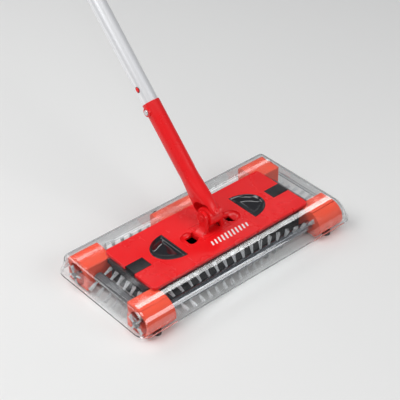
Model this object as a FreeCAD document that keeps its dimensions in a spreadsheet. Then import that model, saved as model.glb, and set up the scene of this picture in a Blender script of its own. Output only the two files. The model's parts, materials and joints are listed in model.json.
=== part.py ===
"""Cordless carpet sweeper: brush head on all four sides, clear cover, two-axis handle.

Frame: millimetres, +X to the right along the head, +Y to the rear, +Z up. The origin is on
the floor under the centre of the deck. The handle rests tilted back.
"""
import FreeCAD, Part
import Sketcher
import math
import os
import re
from FreeCAD import Placement, Rotation, Vector

X_AXIS, Y_AXIS, Z_AXIS = Vector(1, 0, 0), Vector(0, 1, 0), Vector(0, 0, 1)

DIMENSIONS = [
    # deck and clear cover
    ("deck_top", 41.3), ("deck_length", 232), ("deck_depth", 86), ("deck_edge", 3.7),
    ("deck_skin", 2.2), ("deck_corner", 5), ("deck_wall", 2.4), ("deck_soft_edge", 0.9),
    ("cover_top", 37.6), ("cover_skin", 1.6), ("rim_height", 15.3), ("rim_thick", 1.8),
    ("rim_length", 318), ("rim_front", 76.4), ("rim_rear", 77.4), ("rim_corner", 14),
    ("skirt_foot", 156), ("skirt_shoulder", 152.4), ("rear_foot", 75.4), ("rear_shoulder", 72),
    ("opening_length", 222), ("opening_depth", 76),
    # brush ring
    ("brush_height", 18), ("long_axis", 53.2), ("side_axis", 132), ("tuft_reach", 17.3),
    ("core_radius", 5.7), ("shaft_radius", 2), ("bush_radius", 4), ("running_gap", 0.05),
    ("long_core", 107), ("side_core", 33.4), ("shaft_end", 151.6), ("end_hub_place", 149.4),
    ("end_hub_radius", 4), ("end_tuft_length", 8.5), ("tuft_pitch", 12), ("tuft_twist", -0.6),
    ("tuft_root", 1.1), ("tuft_tip", 2.4),
    # gears
    ("mitre_radius", 9), ("mitre_teeth", 16), ("mitre_face", 3),
    ("drive_module", 0.8), ("drive_teeth", 32), ("small_teeth", 12),
    ("motor_module", 0.6), ("large_teeth", 36), ("pinion_teeth", 10),
    ("idler_depth", 36.2), ("idler_height", 22.6), ("motor_depth", 23.2),
    ("axle_radius", 1.5), ("drive_place", -23), ("reduction_place", -16.5), ("gear_face", 5),
    # chassis and bins
    ("tub_length", 226), ("tub_depth", 70), ("tub_floor", 5), ("tub_rim", 35.8),
    ("tub_wall", 1.6), ("bin_inner", 56), ("door_thick", 1.8), ("door_under", 3),
    ("inlet_low", 12), ("inlet_high", 24), ("hinge_radius", 0.8), ("hinge_height", 3.2),
    ("knuckle_radius", 1.35), ("lug_length", 3),
    # housings
    ("barrel_radius", 16.8), ("cavity_radius", 13.4), ("housing_inner", 109),
    ("housing_outer", 146.4), ("housing_rear", 15.4), ("housing_top", 35.6), ("housing_foot", 4),
    ("hub_wall", 5), ("rear_box_half", 30), ("foot_radius", 5), ("middle_foot", 8),
    # cells and motor
    ("cell_radius", 7.1), ("cell_length", 49), ("cell_pitch", 14.6), ("motor_radius", 10),
    ("motor_length", 31), ("switch_place", 25), ("switch_depth", 28.4), ("switch_long", 13),
    ("switch_wide", 6.4), ("switch_lean", 8), ("switch_pivot", 0.8), ("switch_pin", 0.7),
    # windows and latches
    ("window_chord", 50.7), ("window_reach", 81.6), ("window_half", 23), ("window_skin", 1.2),
    ("window_sink", 3.4), ("well_place", 31.6), ("well_depth", -3), ("well_half", 10.4),
    ("well_sink", 5.4), ("latch_inner", 92), ("latch_outer", 115.4), ("latch_front", -10.6),
    ("latch_rear", 6.4), ("stem_radius", 2.2),
    # two-axis joint
    ("pivot_depth", -2), ("pivot_height", 58.7), ("rest_tilt", 45), ("ear_inner", 8.6),
    ("ear_outer", 12.6), ("ear_radius", 7.8), ("hub_radius", 11.6), ("hub_half", 8.3),
    ("tilt_pin_radius", 2.5), ("swivel_pin_radius", 2), ("arm_inner", 11.9),
    ("arm_outer", 14.6), ("eye_radius", 5.2), ("bracket_half", 20),
    # handle
    ("socket_radius", 10.4), ("socket_end", 142), ("tube_radius", 9.5), ("tube_wall", 0.8),
    ("tube_length", 276), ("tube_start", 62), ("collar_gap", 8), ("snap_place", 133),
    ("grip_radius", 13), ("grip_length", 132), ("hang_radius", 5),
]

doc = FreeCAD.newDocument("carpet_sweeper")
sheet = doc.addObject("Spreadsheet::Sheet", "dims")
for row, (alias, value) in enumerate(DIMENSIONS, 1):
    sheet.set(f"A{row}", alias)
    sheet.set(f"B{row}", str(value))
    sheet.setAlias(f"B{row}", alias)
doc.recompute()

nodes = []


# ---------------------------------------------------------------- building blocks
def dim(alias):
    """A driving dimension, read back from the sheet."""
    return float(sheet.get(alias))


def bind(thing, prop, rule):
    """Tie a property to the sheet; every word with an underscore is an alias."""
    thing.setExpression(prop, re.sub(r"\b([a-z]+(?:_[a-z]+)+)\b", r"dims.\1", str(rule)))


def put(thing, centre):
    for axis, rule in zip("xyz", centre):
        bind(thing, f"Placement.Base.{axis}", rule)


def box(name, centre, lengths):
    """A block given by the rules for its centre and its side lengths."""
    block = doc.addObject("Part::Box", name)
    for prop, rule in zip(("Length", "Width", "Height"), lengths):
        bind(block, prop, rule)
    put(block, [f"({c}) - ({side})/2" for c, side in zip(centre, lengths)])
    return block


def rod(name, centre, radius, length, axis="x"):
    """A cylinder along one axis, given by its centre."""
    pin = doc.addObject("Part::Cylinder", name)
    bind(pin, "Radius", radius)
    bind(pin, "Height", length)
    turn = {"x": Rotation(Y_AXIS, 90), "y": Rotation(X_AXIS, -90), "z": Rotation()}[axis]
    pin.Placement = Placement(Vector(), turn)
    start = list(centre)
    place = "xyz".index(axis)
    start[place] = f"({start[place]}) - ({length})/2"
    put(pin, start)
    return pin


def join(name, pieces):
    whole = doc.addObject("Part::MultiFuse", name)
    whole.Shapes = pieces
    return whole


def cut(name, base, tools):
    rest = doc.addObject("Part::Cut", name)
    rest.Base = base
    rest.Tool = tools[0] if len(tools) == 1 else join(name + "_tools", tools)
    return rest


def group(name, pieces):
    """Separate solids that share one node."""
    bundle = doc.addObject("Part::Compound", name)
    bundle.Links = pieces
    return bundle


def solid(name, shape):
    """A piece whose form comes from a calculation on the sheet's values."""
    feature = doc.addObject("Part::Feature", name)
    feature.Shape = shape
    return feature


def node(name, thing):
    """Hand a finished sub-part in under its own label."""
    thing.Label = name
    nodes.append(thing)
    return thing


def tube(name, centre, outer, inner, length, axis="x"):
    body = rod(name + "_outside", centre, outer, length, axis)
    bore = rod(name + "_bore", centre, inner, f"{length} + 1", axis)
    return cut(name, body, [bore])


def soften(name, base, radius, wanted):
    """Round the edges that the test picks out."""
    doc.recompute()
    edges = [i for i, edge in enumerate(base.Shape.Edges, 1) if wanted(edge)]
    rounded = doc.addObject("Part::Fillet", name)
    rounded.Base = base
    rounded.Edges = [(i, radius, radius) for i in edges]
    return rounded


def polygon(points):
    return Part.Face(Part.makePolygon([Vector(*p) for p in points] + [Vector(*points[0])]))


def rounded_plate(x_half, y_front, y_rear, corner, low, thick):
    """A flat plate with round corners, from y = -y_front to y = y_rear."""
    plate = Part.makeBox(2 * x_half, y_front + y_rear, thick, Vector(-x_half, -y_front, low))
    upright = [e for e in plate.Edges if abs(e.tangentAt(e.FirstParameter).z) > 0.9]
    return plate.makeFillet(corner, upright)


# ---------------------------------------------------------------- clear cover
def cover_block(skin):
    """The cover's outer form, or its hollow when skin is the wall's thickness.

    In side view the front is an arc about the front brush; the rear is a leaning wall."""
    top = dim("cover_top") - skin
    arc_radius = top - dim("brush_height")
    front, axis = -dim("long_axis") - arc_radius, -dim("long_axis")
    low = dim("rim_height") - (1 if skin else 0)
    shoulder, foot = dim("rear_shoulder") - skin, dim("rear_foot") - skin
    across = arc_radius * math.sqrt(0.5)
    side = Part.Wire([
        Part.makeLine(Vector(0, foot, low), Vector(0, shoulder, top)),
        Part.makeLine(Vector(0, shoulder, top), Vector(0, axis, top)),
        Part.Arc(Vector(0, axis, top), Vector(0, axis - across, dim("brush_height") + across),
                 Vector(0, front, dim("brush_height"))).toShape(),
        Part.makeLine(Vector(0, front, dim("brush_height")), Vector(0, front, low)),
        Part.makeLine(Vector(0, front, low), Vector(0, foot, low)),
    ])
    reach = dim("skirt_foot") + 5
    block = Part.Face(side).extrude(Vector(2 * reach, 0, 0))
    block.translate(Vector(-reach, 0, 0))
    end, end_top = dim("skirt_foot") - skin, dim("skirt_shoulder") - skin
    ends = polygon([(-end, -100, low), (end, -100, low), (end_top, -100, top), (-end_top, -100, top)])
    block = block.common(ends.extrude(Vector(0, 200, 0)))
    corners = [e for e in block.Edges if is_corner(e, top, low)]
    block = block.makeFillet(8 - skin, corners)
    crest = [e for e in block.Edges if e.BoundBox.ZMin > top - 0.01 and e.BoundBox.YMax > 20]
    return block.makeFillet(5 - skin, crest)


def is_corner(edge, top, low):
    """An edge that climbs one of the block's four upright corners."""
    span = edge.BoundBox
    return span.ZMax - span.ZMin > 2 and span.XMax - span.XMin < 6 and span.ZMin < top


def clear_cover():
    """A thin shell with a flanged rim below and an opening for the deck above."""
    shell = cover_block(0)
    rim = rounded_plate(dim("rim_length") / 2, dim("rim_front"), dim("rim_rear"),
                        dim("rim_corner"), dim("rim_height"), dim("rim_thick"))
    opening = rounded_plate(dim("opening_length") / 2, dim("opening_depth") / 2,
                            dim("opening_depth") / 2, 4, dim("cover_top") - 4, 8)
    inlet = Part.makeCylinder(4.2, 20, Vector(-18, dim("rear_shoulder") - 8, 24), Y_AXIS)
    whole = shell.fuse(rim).cut(cover_block(dim("cover_skin"))).cut(opening).cut(inlet)
    node("clear_cover", solid("clear_cover", whole.removeSplitter()))


# ---------------------------------------------------------------- deck and windows
def sketch_on(body, name, height):
    """An empty sketch on the body's own horizontal plane, raised to a height."""
    drawing = body.newObject("Sketcher::SketchObject", name)
    plane = [f for f in body.Origin.OriginFeatures if f.Role == "XY_Plane"][0]
    drawing.AttachmentSupport = (plane, [""])
    drawing.MapMode = "FlatFace"
    bind(drawing, "AttachmentOffset.Base.z", height)
    return drawing


def draw_rectangle(drawing, centre, lengths):
    """A rectangle whose sides and place are constraints tied to the sheet."""
    values = []
    for rule in (*centre, *lengths):
        bind(scratch, "Placement.Base.x", rule)
        doc.recompute()
        values.append(scratch.Placement.Base.x)
    cx, cy, dx, dy = values
    spots = [Vector(cx + i * dx / 2, cy + j * dy / 2, 0) for i, j in ((-1, -1), (1, -1), (1, 1), (-1, 1))]
    first = drawing.GeometryCount
    for k in range(4):
        drawing.addGeometry(Part.LineSegment(spots[k], spots[(k + 1) % 4]))
    for k in range(4):
        drawing.addConstraint(Sketcher.Constraint("Coincident", first + k, 2, first + (k + 1) % 4, 1))
        way = "Horizontal" if k % 2 == 0 else "Vertical"
        drawing.addConstraint(Sketcher.Constraint(way, first + k))
    for kind, rule, value, where in (
            ("DistanceX", lengths[0], dx, (first, 1, first, 2)),
            ("DistanceY", lengths[1], dy, (first + 1, 1, first + 1, 2)),
            ("DistanceX", f"({centre[0]}) - ({lengths[0]})/2", cx - dx / 2, (-1, 1, first, 1)),
            ("DistanceY", f"({centre[1]}) - ({lengths[1]})/2", cy - dy / 2, (-1, 1, first, 1))):
        number = drawing.addConstraint(Sketcher.Constraint(kind, *where, value))
        bind(drawing, f"Constraints[{number}]", rule)


def pad(body, drawing, name, height):
    feature = body.newObject("PartDesign::Pad", name)
    feature.Profile = drawing
    bind(feature, "Length", height)
    return feature


def pocket_up(body, drawing, name, depth):
    """Cut upwards from the sketch; the volume has to fall."""
    doc.recompute()
    before = body.Shape.Volume
    feature = body.newObject("PartDesign::Pocket", name)
    feature.Profile = drawing
    feature.Reversed = True
    bind(feature, "Length", depth)
    doc.recompute()
    if body.Shape.Volume >= before:
        raise RuntimeError(name + " removed nothing")
    return feature


def window_outline(side, grow):
    """The half-moon: a straight chord towards the middle and a half ellipse outwards."""
    chord = dim("window_chord") - grow
    reach = dim("window_reach") - dim("window_chord") + 2 * grow
    half = dim("window_half") + grow
    low, high = Vector(side * chord, -half, 0), Vector(side * chord, half, 0)
    if half >= reach:
        bow = Part.Ellipse(Vector(chord * side, half, 0), Vector(side * (chord + reach), 0, 0),
                           Vector(side * chord, 0, 0))
    else:
        bow = Part.Ellipse(Vector(side * (chord + reach), 0, 0), Vector(side * chord, half, 0),
                           Vector(side * chord, 0, 0))
    edge = bow.toShape()
    plate = Part.Face(Part.Wire([edge]))
    keep = Part.makeBox(reach + 1, 2 * half + 2, 1, Vector(0, -half - 1, -0.5))
    keep.translate(Vector(chord if side > 0 else -chord - reach - 1, 0, 0))
    return plate.common(keep).Faces[0]


def window_block(side, grow, low, high):
    block = window_outline(side, grow).copy()
    block.translate(Vector(0, 0, low))
    return block.extrude(Vector(0, 0, high - low))


def edges_of(body, wanted):
    """Names of the body's edges that pass a test."""
    return [f"Edge{i}" for i, edge in enumerate(body.Tip.Shape.Edges, 1) if wanted(edge)]


def is_deck_corner(edge):
    """One of the four upright outer corners."""
    spot = edge.CenterOfMass
    return (edge.BoundBox.ZLength > dim("deck_edge") - 0.1 and abs(spot.x) > dim("deck_length") / 2 - 0.1
            and abs(spot.y) > dim("deck_depth") / 2 - 0.1)


def is_deck_crest(edge):
    """Any edge of the slab's top face."""
    return edge.BoundBox.ZMin > dim("deck_top") - 0.01


def round_edges(body, name, radius, wanted):
    edges = (body.Tip, edges_of(body, wanted))
    rounded = body.newObject("PartDesign::Fillet", name)
    rounded.Base = edges
    bind(rounded, "Radius", radius)
    body.Tip = rounded
    doc.recompute()


def deck_cover():
    body = doc.addObject("PartDesign::Body", "deck_body")
    bottom = "deck_top - deck_edge"
    plate = sketch_on(body, "deck_outline", bottom)
    draw_rectangle(plate, ("0", "0"), ("deck_length", "deck_depth"))
    pad(body, plate, "deck_slab", "deck_edge")
    doc.recompute()
    round_edges(body, "deck_corners", "deck_corner", is_deck_corner)
    round_edges(body, "deck_crest", "deck_soft_edge", is_deck_crest)
    hollow = sketch_on(body, "deck_hollow", bottom)
    draw_rectangle(hollow, ("0", "0"), ("deck_length - 2*deck_wall", "deck_depth - 2*deck_wall"))
    pocket_up(body, hollow, "deck_underside", "deck_edge - deck_skin")
    holes = sketch_on(body, "deck_holes", bottom)
    draw_rectangle(holes, ("0", "pivot_depth"), ("2*bracket_half + 0.5", "26.5"))
    for side in ("-1", "1"):
        draw_rectangle(holes, (f"{side}*(latch_inner + latch_outer + 5)/2", "(latch_front + latch_rear)/2"),
                       ("latch_outer + 5 - latch_inner", "latch_rear - latch_front"))
    draw_rectangle(holes, ("switch_place", "switch_depth"), ("switch_long + 1.6", "switch_wide + 2"))
    pocket_up(body, holes, "deck_openings", "deck_edge")
    tools = [solid(f"window_hole_{side}", window_block(side, 0, 30, 50)) for side in (-1, 1)]
    pans = []
    for word, side in (("left", -1), ("right", 1)):
        middle = (f"{side}*well_place", "well_depth", "deck_top")
        pans.append(box(f"{word}_pan", (middle[0], middle[1], "deck_top - well_sink/2 - 1.2"),
                        ("2*well_half + 1.4", "2*well_half + 1.4", "well_sink + 0.6")))
        tools.append(well_dish(f"{word}_dish", middle))
        tools.append(box(f"{word}_well_hole", (f"{side}*(well_place - 4)", "well_depth", "deck_top - 4"),
                         ("11", "13", "16")))
    node("deck_cover", cut("deck_cut", join("deck_with_pans", [body] + pans), tools))


def well_dish(name, centre):
    """The shallow round hollow that leads down to a dark pocket beside each ear."""
    dish = doc.addObject("Part::Ellipsoid", name)
    bind(dish, "Radius1", "well_sink")
    bind(dish, "Radius2", "well_half")
    bind(dish, "Radius3", "well_half")
    dish.Angle1, dish.Angle2 = -90, 90
    put(dish, centre)
    return dish


def window(name, side):
    """A dished smoked lens: a sunk floor with a wall up to a rim just proud of the deck."""
    top, sink = dim("deck_top") + 0.3, dim("window_sink")
    outer = window_block(side, -0.2, top - sink - dim("window_skin"), top)
    inner = window_block(side, -0.2 - dim("window_skin"), top - sink, top + 1)
    node(name, solid(name, outer.cut(inner)))


# ---------------------------------------------------------------- chassis
def chassis():
    middle = "(tub_floor + tub_rim)/2"
    block = box("tub_block", ("0", "0", middle), ("tub_length", "tub_depth", "tub_rim - tub_floor"))
    tools = [box("machine_bay", ("0", "0", "(tub_floor + tub_wall + tub_rim + 1)/2"),
                 ("2*(bin_inner - 2*tub_wall)", "tub_depth - 2*tub_wall",
                  "tub_rim + 1 - tub_floor - tub_wall"))]
    bin_depth, bin_length = "tub_depth - 2*tub_wall", "tub_length/2 - tub_wall - bin_inner"
    inlet_middle, inlet_tall = "(inlet_low + inlet_high)/2", "inlet_high - inlet_low"
    for side, word in ((-1, "left"), (1, "right")):
        bin_middle = f"{side}*(bin_inner + tub_length/2 - tub_wall)/2"
        tools.append(box(f"{word}_bin", (bin_middle, "0", middle), (bin_length, bin_depth, "40")))
        tools.append(box(f"{word}_long_inlets", (bin_middle, "0", inlet_middle),
                         (f"{bin_length} - 10", "tub_depth + 2", inlet_tall)))
        tools.append(box(f"{word}_end_inlet", (f"{side}*tub_length/2", "0", inlet_middle),
                         ("6", "tub_depth - 14", inlet_tall)))
    tools.append(box("gear_doorway", ("-18.5", "tub_depth/2", "tub_floor + 15.5"), ("19", "6", "27")))
    tub = cut("tub", block, tools)
    extras = []
    for side, word in ((-1, "left"), (1, "right")):
        shelf_x = f"{side}*(latch_inner + latch_outer)/2"
        shelf_y = "(latch_front + latch_rear)/2"
        shelf = box(f"{word}_shelf", (f"{side}*(latch_inner + tub_length/2 - 1)/2", "0", "tub_rim - 1.5"),
                    ("tub_length/2 - latch_inner - 1", "tub_depth - 2", "3"))
        hole = rod(f"{word}_shelf_hole", (shelf_x, shelf_y, "tub_rim"), "stem_radius + 0.2", "10", "z")
        extras.append(cut(f"{word}_guide", shelf, [hole]))
        extras.append(brush_guard(word, side))
        for end in (-1, 1):
            spot = (f"{side}*bin_inner", f"{end}*(tub_depth/2 - 2.5)")
            lug = box(f"{word}_lug_{end + 2}", (*spot, "hinge_height + 0.4"), ("3.4", "lug_length", "3.8"))
            eye = rod(f"{word}_lug_eye_{end + 2}", (*spot, "hinge_height"), "hinge_radius",
                      "lug_length + 1", "y")
            extras.append(cut(f"{word}_lug_cut_{end + 2}", lug, [eye]))
    cradle = box("motor_cradle", ("5", "motor_depth", "tub_floor + tub_wall + 4"), ("24", "20", "8"))
    seat = rod("motor_seat", ("5", "motor_depth", "brush_height"), "motor_radius", "40")
    extras.append(cut("cradle", cradle, [seat]))
    node("chassis", join("chassis_body", [tub] + extras))


def brush_guard(word, side):
    """The hollow-faced rail between a bin's end wall and the side brush."""
    rail = box(f"{word}_rail", (f"{side}*(tub_length/2 + 2.5)", "0", "(inlet_high + tub_rim)/2"),
               ("7", "2*side_core", "tub_rim - inlet_high"))
    sweep = rod(f"{word}_sweep", (f"{side}*side_axis", "0", "brush_height"), "tuft_reach + 0.8",
                "tub_depth", "y")
    return cut(f"{word}_guard", rail, [sweep])


# ---------------------------------------------------------------- gear housings
def housing_form(name, middle, length, sy):
    """A housing's outer form: at the front a barrel about the brush, at the rear a box with a
    round top edge; both have a block that reaches the chassis."""
    axis_y, room = f"{sy}*long_axis", "(housing_foot + housing_top)/2"
    block = box(name + "_block", (middle, f"{sy}*(long_axis + tub_depth/2)/2", room),
                (length, "long_axis - tub_depth/2", "housing_top - housing_foot"))
    if sy < 0:
        barrel = rod(name + "_barrel", (middle, axis_y, "brush_height"), "barrel_radius", length)
        roof = box(name + "_roof", (middle, f"{sy}*(long_axis - 4)", "housing_top - 3"), (length, "14", "6"))
        return join(name + "_form", [barrel, block, roof])
    rear = box(name + "_rear",
               (middle, "long_axis + housing_rear/2 - 1", "(housing_foot + housing_top - 1)/2"),
               (length, "housing_rear + 2", "housing_top - housing_foot - 1"))
    crest = soften(name + "_crest", rear, 5, is_rear_crest)
    return join(name + "_form", [block, crest])


def is_rear_crest(edge):
    """The box's upper edge towards the rear."""
    spot = edge.CenterOfMass
    return edge.BoundBox.XLength > 5 and spot.z > dim("brush_height") and spot.y > dim("long_axis") + 5


def corner_housing(name, sx, sy):
    """The housing of two mitre gears: hollow along both brushes, open at its outer end."""
    axis_y = f"{sy}*long_axis"
    middle = f"{sx}*(housing_inner + housing_outer)/2"
    form = housing_form(name, middle, "housing_outer - housing_inner", sy)
    inside, axis_z = f"{sx}*(housing_inner + hub_wall + housing_outer + 1)/2", "brush_height"
    side_x, side_y = f"{sx}*side_axis", f"{sy}*(long_axis + tub_depth/2 + 3)/2"
    tools = [
        rod(name + "_long_hollow", (inside, axis_y, axis_z), "cavity_radius",
            "housing_outer + 1 - housing_inner - hub_wall"),
        rod(name + "_side_hollow", (side_x, side_y, axis_z), "cavity_radius - 0.4",
            "long_axis - tub_depth/2 - 3", "y"),
        rod(name + "_long_eye", (f"{sx}*(housing_inner + 2)", axis_y, axis_z), "bush_radius", "12"),
        rod(name + "_side_eye", (side_x, f"{sy}*(tub_depth/2 + 1)", axis_z), "bush_radius", "8", "y"),
    ]
    if sy < 0:
        tools.append(box(name + "_sole_cut", (middle, axis_y, "housing_foot - 10"), ("60", "60", "20")))
    return cut(name + "_cut", form, tools)


def corner_housings():
    """One front and one rear housing, each mirrored to the other end."""
    for name, other, sx, sy in (("front_left_housing", "front_right_housing", -1, -1),
                                ("rear_right_housing", "rear_left_housing", 1, 1)):
        made = corner_housing(name, sx, sy)
        twin = doc.addObject("Part::Mirroring", name + "_twin")
        twin.Source = made
        twin.Base, twin.Normal = Vector(), X_AXIS
        node(name, made)
        node(other, twin)


def rear_gear_housing():
    """The middle housing of the rear brush: hollow for the drive gear, open towards the motor."""
    form = housing_form("rear_gears", "0", "2*rear_box_half", 1)
    tools = [
        rod("rear_hollow", ("0", "long_axis", "brush_height"), "barrel_radius - 2.4", "2*rear_box_half - 6"),
        box("rear_doorway", ("-18.5", "(long_axis + tub_depth/2)/2 - 1", "tub_floor + 15.5"),
            ("19", "long_axis - tub_depth/2 + 2", "27")),
        rod("rear_eyes", ("0", "long_axis", "brush_height"), "bush_radius", "100"),
        rod("socket_seat", ("-18", "long_axis + 15", "24"), "3.9", "12", "y"),
    ]
    node("rear_gear_housing", cut("rear_housing_cut", form, tools))


def glide_feet():
    """A pad under each corner housing and one under the middle of the chassis."""
    feet = [rod(f"foot_{i}", (f"{sx}*(housing_inner + 20)", f"{sy}*(long_axis + 9)", "housing_foot/2"),
                "foot_radius", "housing_foot", "z")
            for i, (sx, sy) in enumerate(((-1, -1), (1, -1), (-1, 1), (1, 1)))]
    feet.append(rod("foot_middle", ("0", "0", "tub_floor/2"), "middle_foot", "tub_floor", "z"))
    node("glide_feet", group("feet", feet))


def housing_screws():
    """Pan-head screws from below, beside each foot."""
    screws = []
    for i, (sx, sy) in enumerate(((-1, -1), (1, -1), (-1, 1), (1, 1))):
        spot = (f"{sx}*(housing_inner + 4)", f"{sy}*(long_axis - 8)", "housing_foot - 0.8")
        screws.append(rod(f"screw_{i}", spot, "2.6", "1.6", "z"))
    node("housing_screws", group("screws", screws))


# ---------------------------------------------------------------- bushes, shafts and brushes
def brush_bushes():
    bushes = []
    spots = [(x, y, "x", "hub_wall") for x in ("-(housing_inner + hub_wall/2)", "housing_inner + hub_wall/2")
             for y in ("-long_axis", "long_axis")]
    spots += [(x, "long_axis", "x", "3") for x in ("1.5 - rear_box_half", "rear_box_half - 1.5")]
    spots += [(x, y, "y", "3") for x in ("-side_axis", "side_axis")
              for y in ("-(tub_depth/2 + 1.5)", "tub_depth/2 + 1.5")]
    for i, (x, y, axis, length) in enumerate(spots):
        bushes.append(tube(f"bush_{i}", (x, y, "brush_height"), "bush_radius", "shaft_radius + running_gap",
                           length, axis))
    node("brush_bushes", group("bushes", bushes))


def core(name, centre, length, axis):
    node(name, tube(name + "_tube", centre, "core_radius", "shaft_radius", length, axis))


def fluted_core(name, side):
    """The side brushes' cores have shallow grooves along them."""
    spot = (f"{side}*side_axis", "0", "brush_height")
    blank = tube(name + "_blank", spot, "core_radius", "shaft_radius", "2*side_core", "y")
    flutes = []
    for i in range(8):
        turn = math.radians(45 * i)
        place = (f"{side}*side_axis + core_radius*1.08*{math.cos(turn):.5f}", "0",
                 f"brush_height + core_radius*1.08*{math.sin(turn):.5f}")
        flutes.append(rod(f"{name}_flute_{i}", place, "1", "2*side_core + 1", "y"))
    node(name, cut(name + "_fluted", blank, flutes))


def tuft(root, way):
    """One tuft as a plain flared cone standing off its core."""
    start = root + way * dim("core_radius")
    height = dim("tuft_reach") - dim("core_radius")
    return Part.makeCone(dim("tuft_root"), dim("tuft_tip"), height, start, way)


def helix_tufts(centre, along, first, last, start_turn):
    """Two helical rows of tufts, half a turn apart."""
    count = int((last - first) / dim("tuft_pitch") + 0.5)
    step = (last - first) / count
    side = along.cross(Z_AXIS)
    tufts = []
    for i in range(count + 1):
        place = first + step * i
        for half_turn in (0, 180):
            turn = math.radians(start_turn + half_turn + dim("tuft_twist") * (place - first))
            way = side * math.cos(turn) + Z_AXIS * math.sin(turn)
            tufts.append(tuft(centre + along * place, way))
    return tufts


def end_brushes(centre_y, start_turn):
    """A small hub of four tufts on each outer end of a long shaft."""
    pieces = []
    for end in (-1, 1):
        spot = Vector(end * dim("end_hub_place"), centre_y, dim("brush_height"))
        hub = Part.makeCylinder(dim("end_hub_radius"), 2.6, spot - X_AXIS * 1.3, X_AXIS)
        pieces.append(hub.cut(Part.makeCylinder(dim("shaft_radius"), 4, spot - X_AXIS * 2, X_AXIS)))
        for i in range(4):
            turn = math.radians(start_turn + 90 * i)
            way = Vector(0, math.cos(turn), math.sin(turn))
            start = spot + way * dim("end_hub_radius")
            pieces.append(Part.makeCone(0.8, 1.25, dim("end_tuft_length"), start, way))
    return pieces


def long_brushes():
    """The front brush runs the whole length; the rear one has a core each side of the gears."""
    height = dim("brush_height")
    inner, outer = dim("rear_box_half") + 5, dim("long_core") - 3
    for word, sy in (("front", -1), ("rear", 1)):
        spot = ("0", f"{sy}*long_axis", "brush_height")
        node(f"{word}_shaft", rod(f"{word}_shaft_rod", spot, "shaft_radius", "2*shaft_end"))
    front = Vector(0, -dim("long_axis"), height)
    rear = Vector(0, dim("long_axis"), height)
    core("front_core", ("0", "-long_axis", "brush_height"), "2*long_core", "x")
    half_length = "long_core - rear_box_half - 2"
    for word, side in (("left", -1), ("right", 1)):
        middle = f"{side}*(long_core + rear_box_half + 2)/2"
        core(f"rear_{word}_core", (middle, "long_axis", "brush_height"), half_length, "x")
    front_tufts = helix_tufts(front, X_AXIS, -outer, outer, -5) + end_brushes(front.y, 215)
    rear_tufts = helix_tufts(rear, X_AXIS, -outer, -inner, 115) + helix_tufts(rear, X_AXIS, inner, outer, 70)
    node("front_tufts", solid("front_tufts", Part.makeCompound(front_tufts)))
    node("rear_tufts", solid("rear_tufts", Part.makeCompound(rear_tufts + end_brushes(rear.y, 160))))


def side_brushes():
    reach = dim("side_core") - 4
    for word, side in (("left", -1), ("right", 1)):
        centre = (f"{side}*side_axis", "0", "brush_height")
        length = "2*(long_axis - shaft_radius - 1.5)"
        node(f"{word}_shaft", rod(f"{word}_shaft_rod", centre, "shaft_radius", length, "y"))
        fluted_core(f"{word}_core", side)
        spot = Vector(side * dim("side_axis"), 0, dim("brush_height"))
        tufts = helix_tufts(spot, Y_AXIS, -reach, reach, 60 if side < 0 else 20)
        node(f"{word}_tufts", solid(f"{word}_tufts", Part.makeCompound(tufts)))


# ---------------------------------------------------------------- gears
def toothed_disc(teeth, pitch_radius, addendum, thick, bore, phase=0.0):
    """A spur gear with straight-flanked teeth and some backlash, axis along +X."""
    pitch = 2 * math.pi / teeth
    points = []
    for i in range(teeth):
        middle = phase + i * pitch
        for part, radius in ((-0.29, pitch_radius - 1.2 * addendum), (-0.11, pitch_radius + 0.9 * addendum),
                             (0.11, pitch_radius + 0.9 * addendum), (0.29, pitch_radius - 1.2 * addendum)):
            turn = middle + part * pitch
            points.append((0, radius * math.cos(turn), radius * math.sin(turn)))
    disc = polygon(points).extrude(X_AXIS * thick)
    return disc.cut(Part.makeCylinder(bore, 3 * thick, Vector(-thick, 0, 0), X_AXIS))


def mitre_gear():
    """A mitre gear about +X with its apex at the origin; its back is at -mitre_radius.

    Every tooth is lofted from its outer end to the same outline scaled towards the apex."""
    teeth, back = int(dim("mitre_teeth")), dim("mitre_radius")
    inner = (back - dim("mitre_face")) / back
    pitch = 2 * math.pi / teeth

    def outline(scale, i):
        corners = []
        tooth = ((-0.3, 0.86 * back), (-0.12, 1.09 * back), (0.12, 1.09 * back), (0.3, 0.86 * back))
        for part, radius in tooth:
            turn = (i + part) * pitch
            corners.append(Vector(-back, radius * math.cos(turn), radius * math.sin(turn)) * scale)
        return Part.makePolygon(corners + [corners[0]])

    root = 0.885
    body = Part.makeCone(root * back, root * back * inner, back * (1 - inner), Vector(-back, 0, 0), X_AXIS)
    blank = [Part.makeLoft([outline(1, i), outline(inner, i)], True, True) for i in range(teeth)]
    boss = Part.makeCylinder(4.2, 2.6, Vector(-back - 2.6, 0, 0), X_AXIS)
    gear = body.multiFuse(blank + [boss])
    return gear.cut(Part.makeCylinder(dim("shaft_radius"), 40, Vector(-20, 0, 0), X_AXIS))


def mitre_gears():
    """Two gears on each shaft. Front and rear gears have a tooth towards the side brush, and
    the side brushes' gears have a gap there."""
    blank = mitre_gear()
    half_tooth = 180 / dim("mitre_teeth")
    sets = {"front": [], "rear": [], "left": [], "right": []}
    for word, sy in (("front", -1), ("rear", 1)):
        for end, sx in (("left", -1), ("right", 1)):
            apex = Vector(sx * dim("side_axis"), sy * dim("long_axis"), dim("brush_height"))
            along = blank.copy()
            along.rotate(Vector(), Z_AXIS, 0 if sx > 0 else 180)
            along.translate(apex)
            sets[word].append(along)
            across = blank.copy()
            across.rotate(Vector(), X_AXIS, half_tooth)
            across.rotate(Vector(), Z_AXIS, 90 * sy)
            across.translate(apex)
            sets[end].append(across)
    for word, pair in sets.items():
        node(f"{word}_mitre_gears", solid(f"{word}_mitre_gears", Part.makeCompound(pair)))


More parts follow.
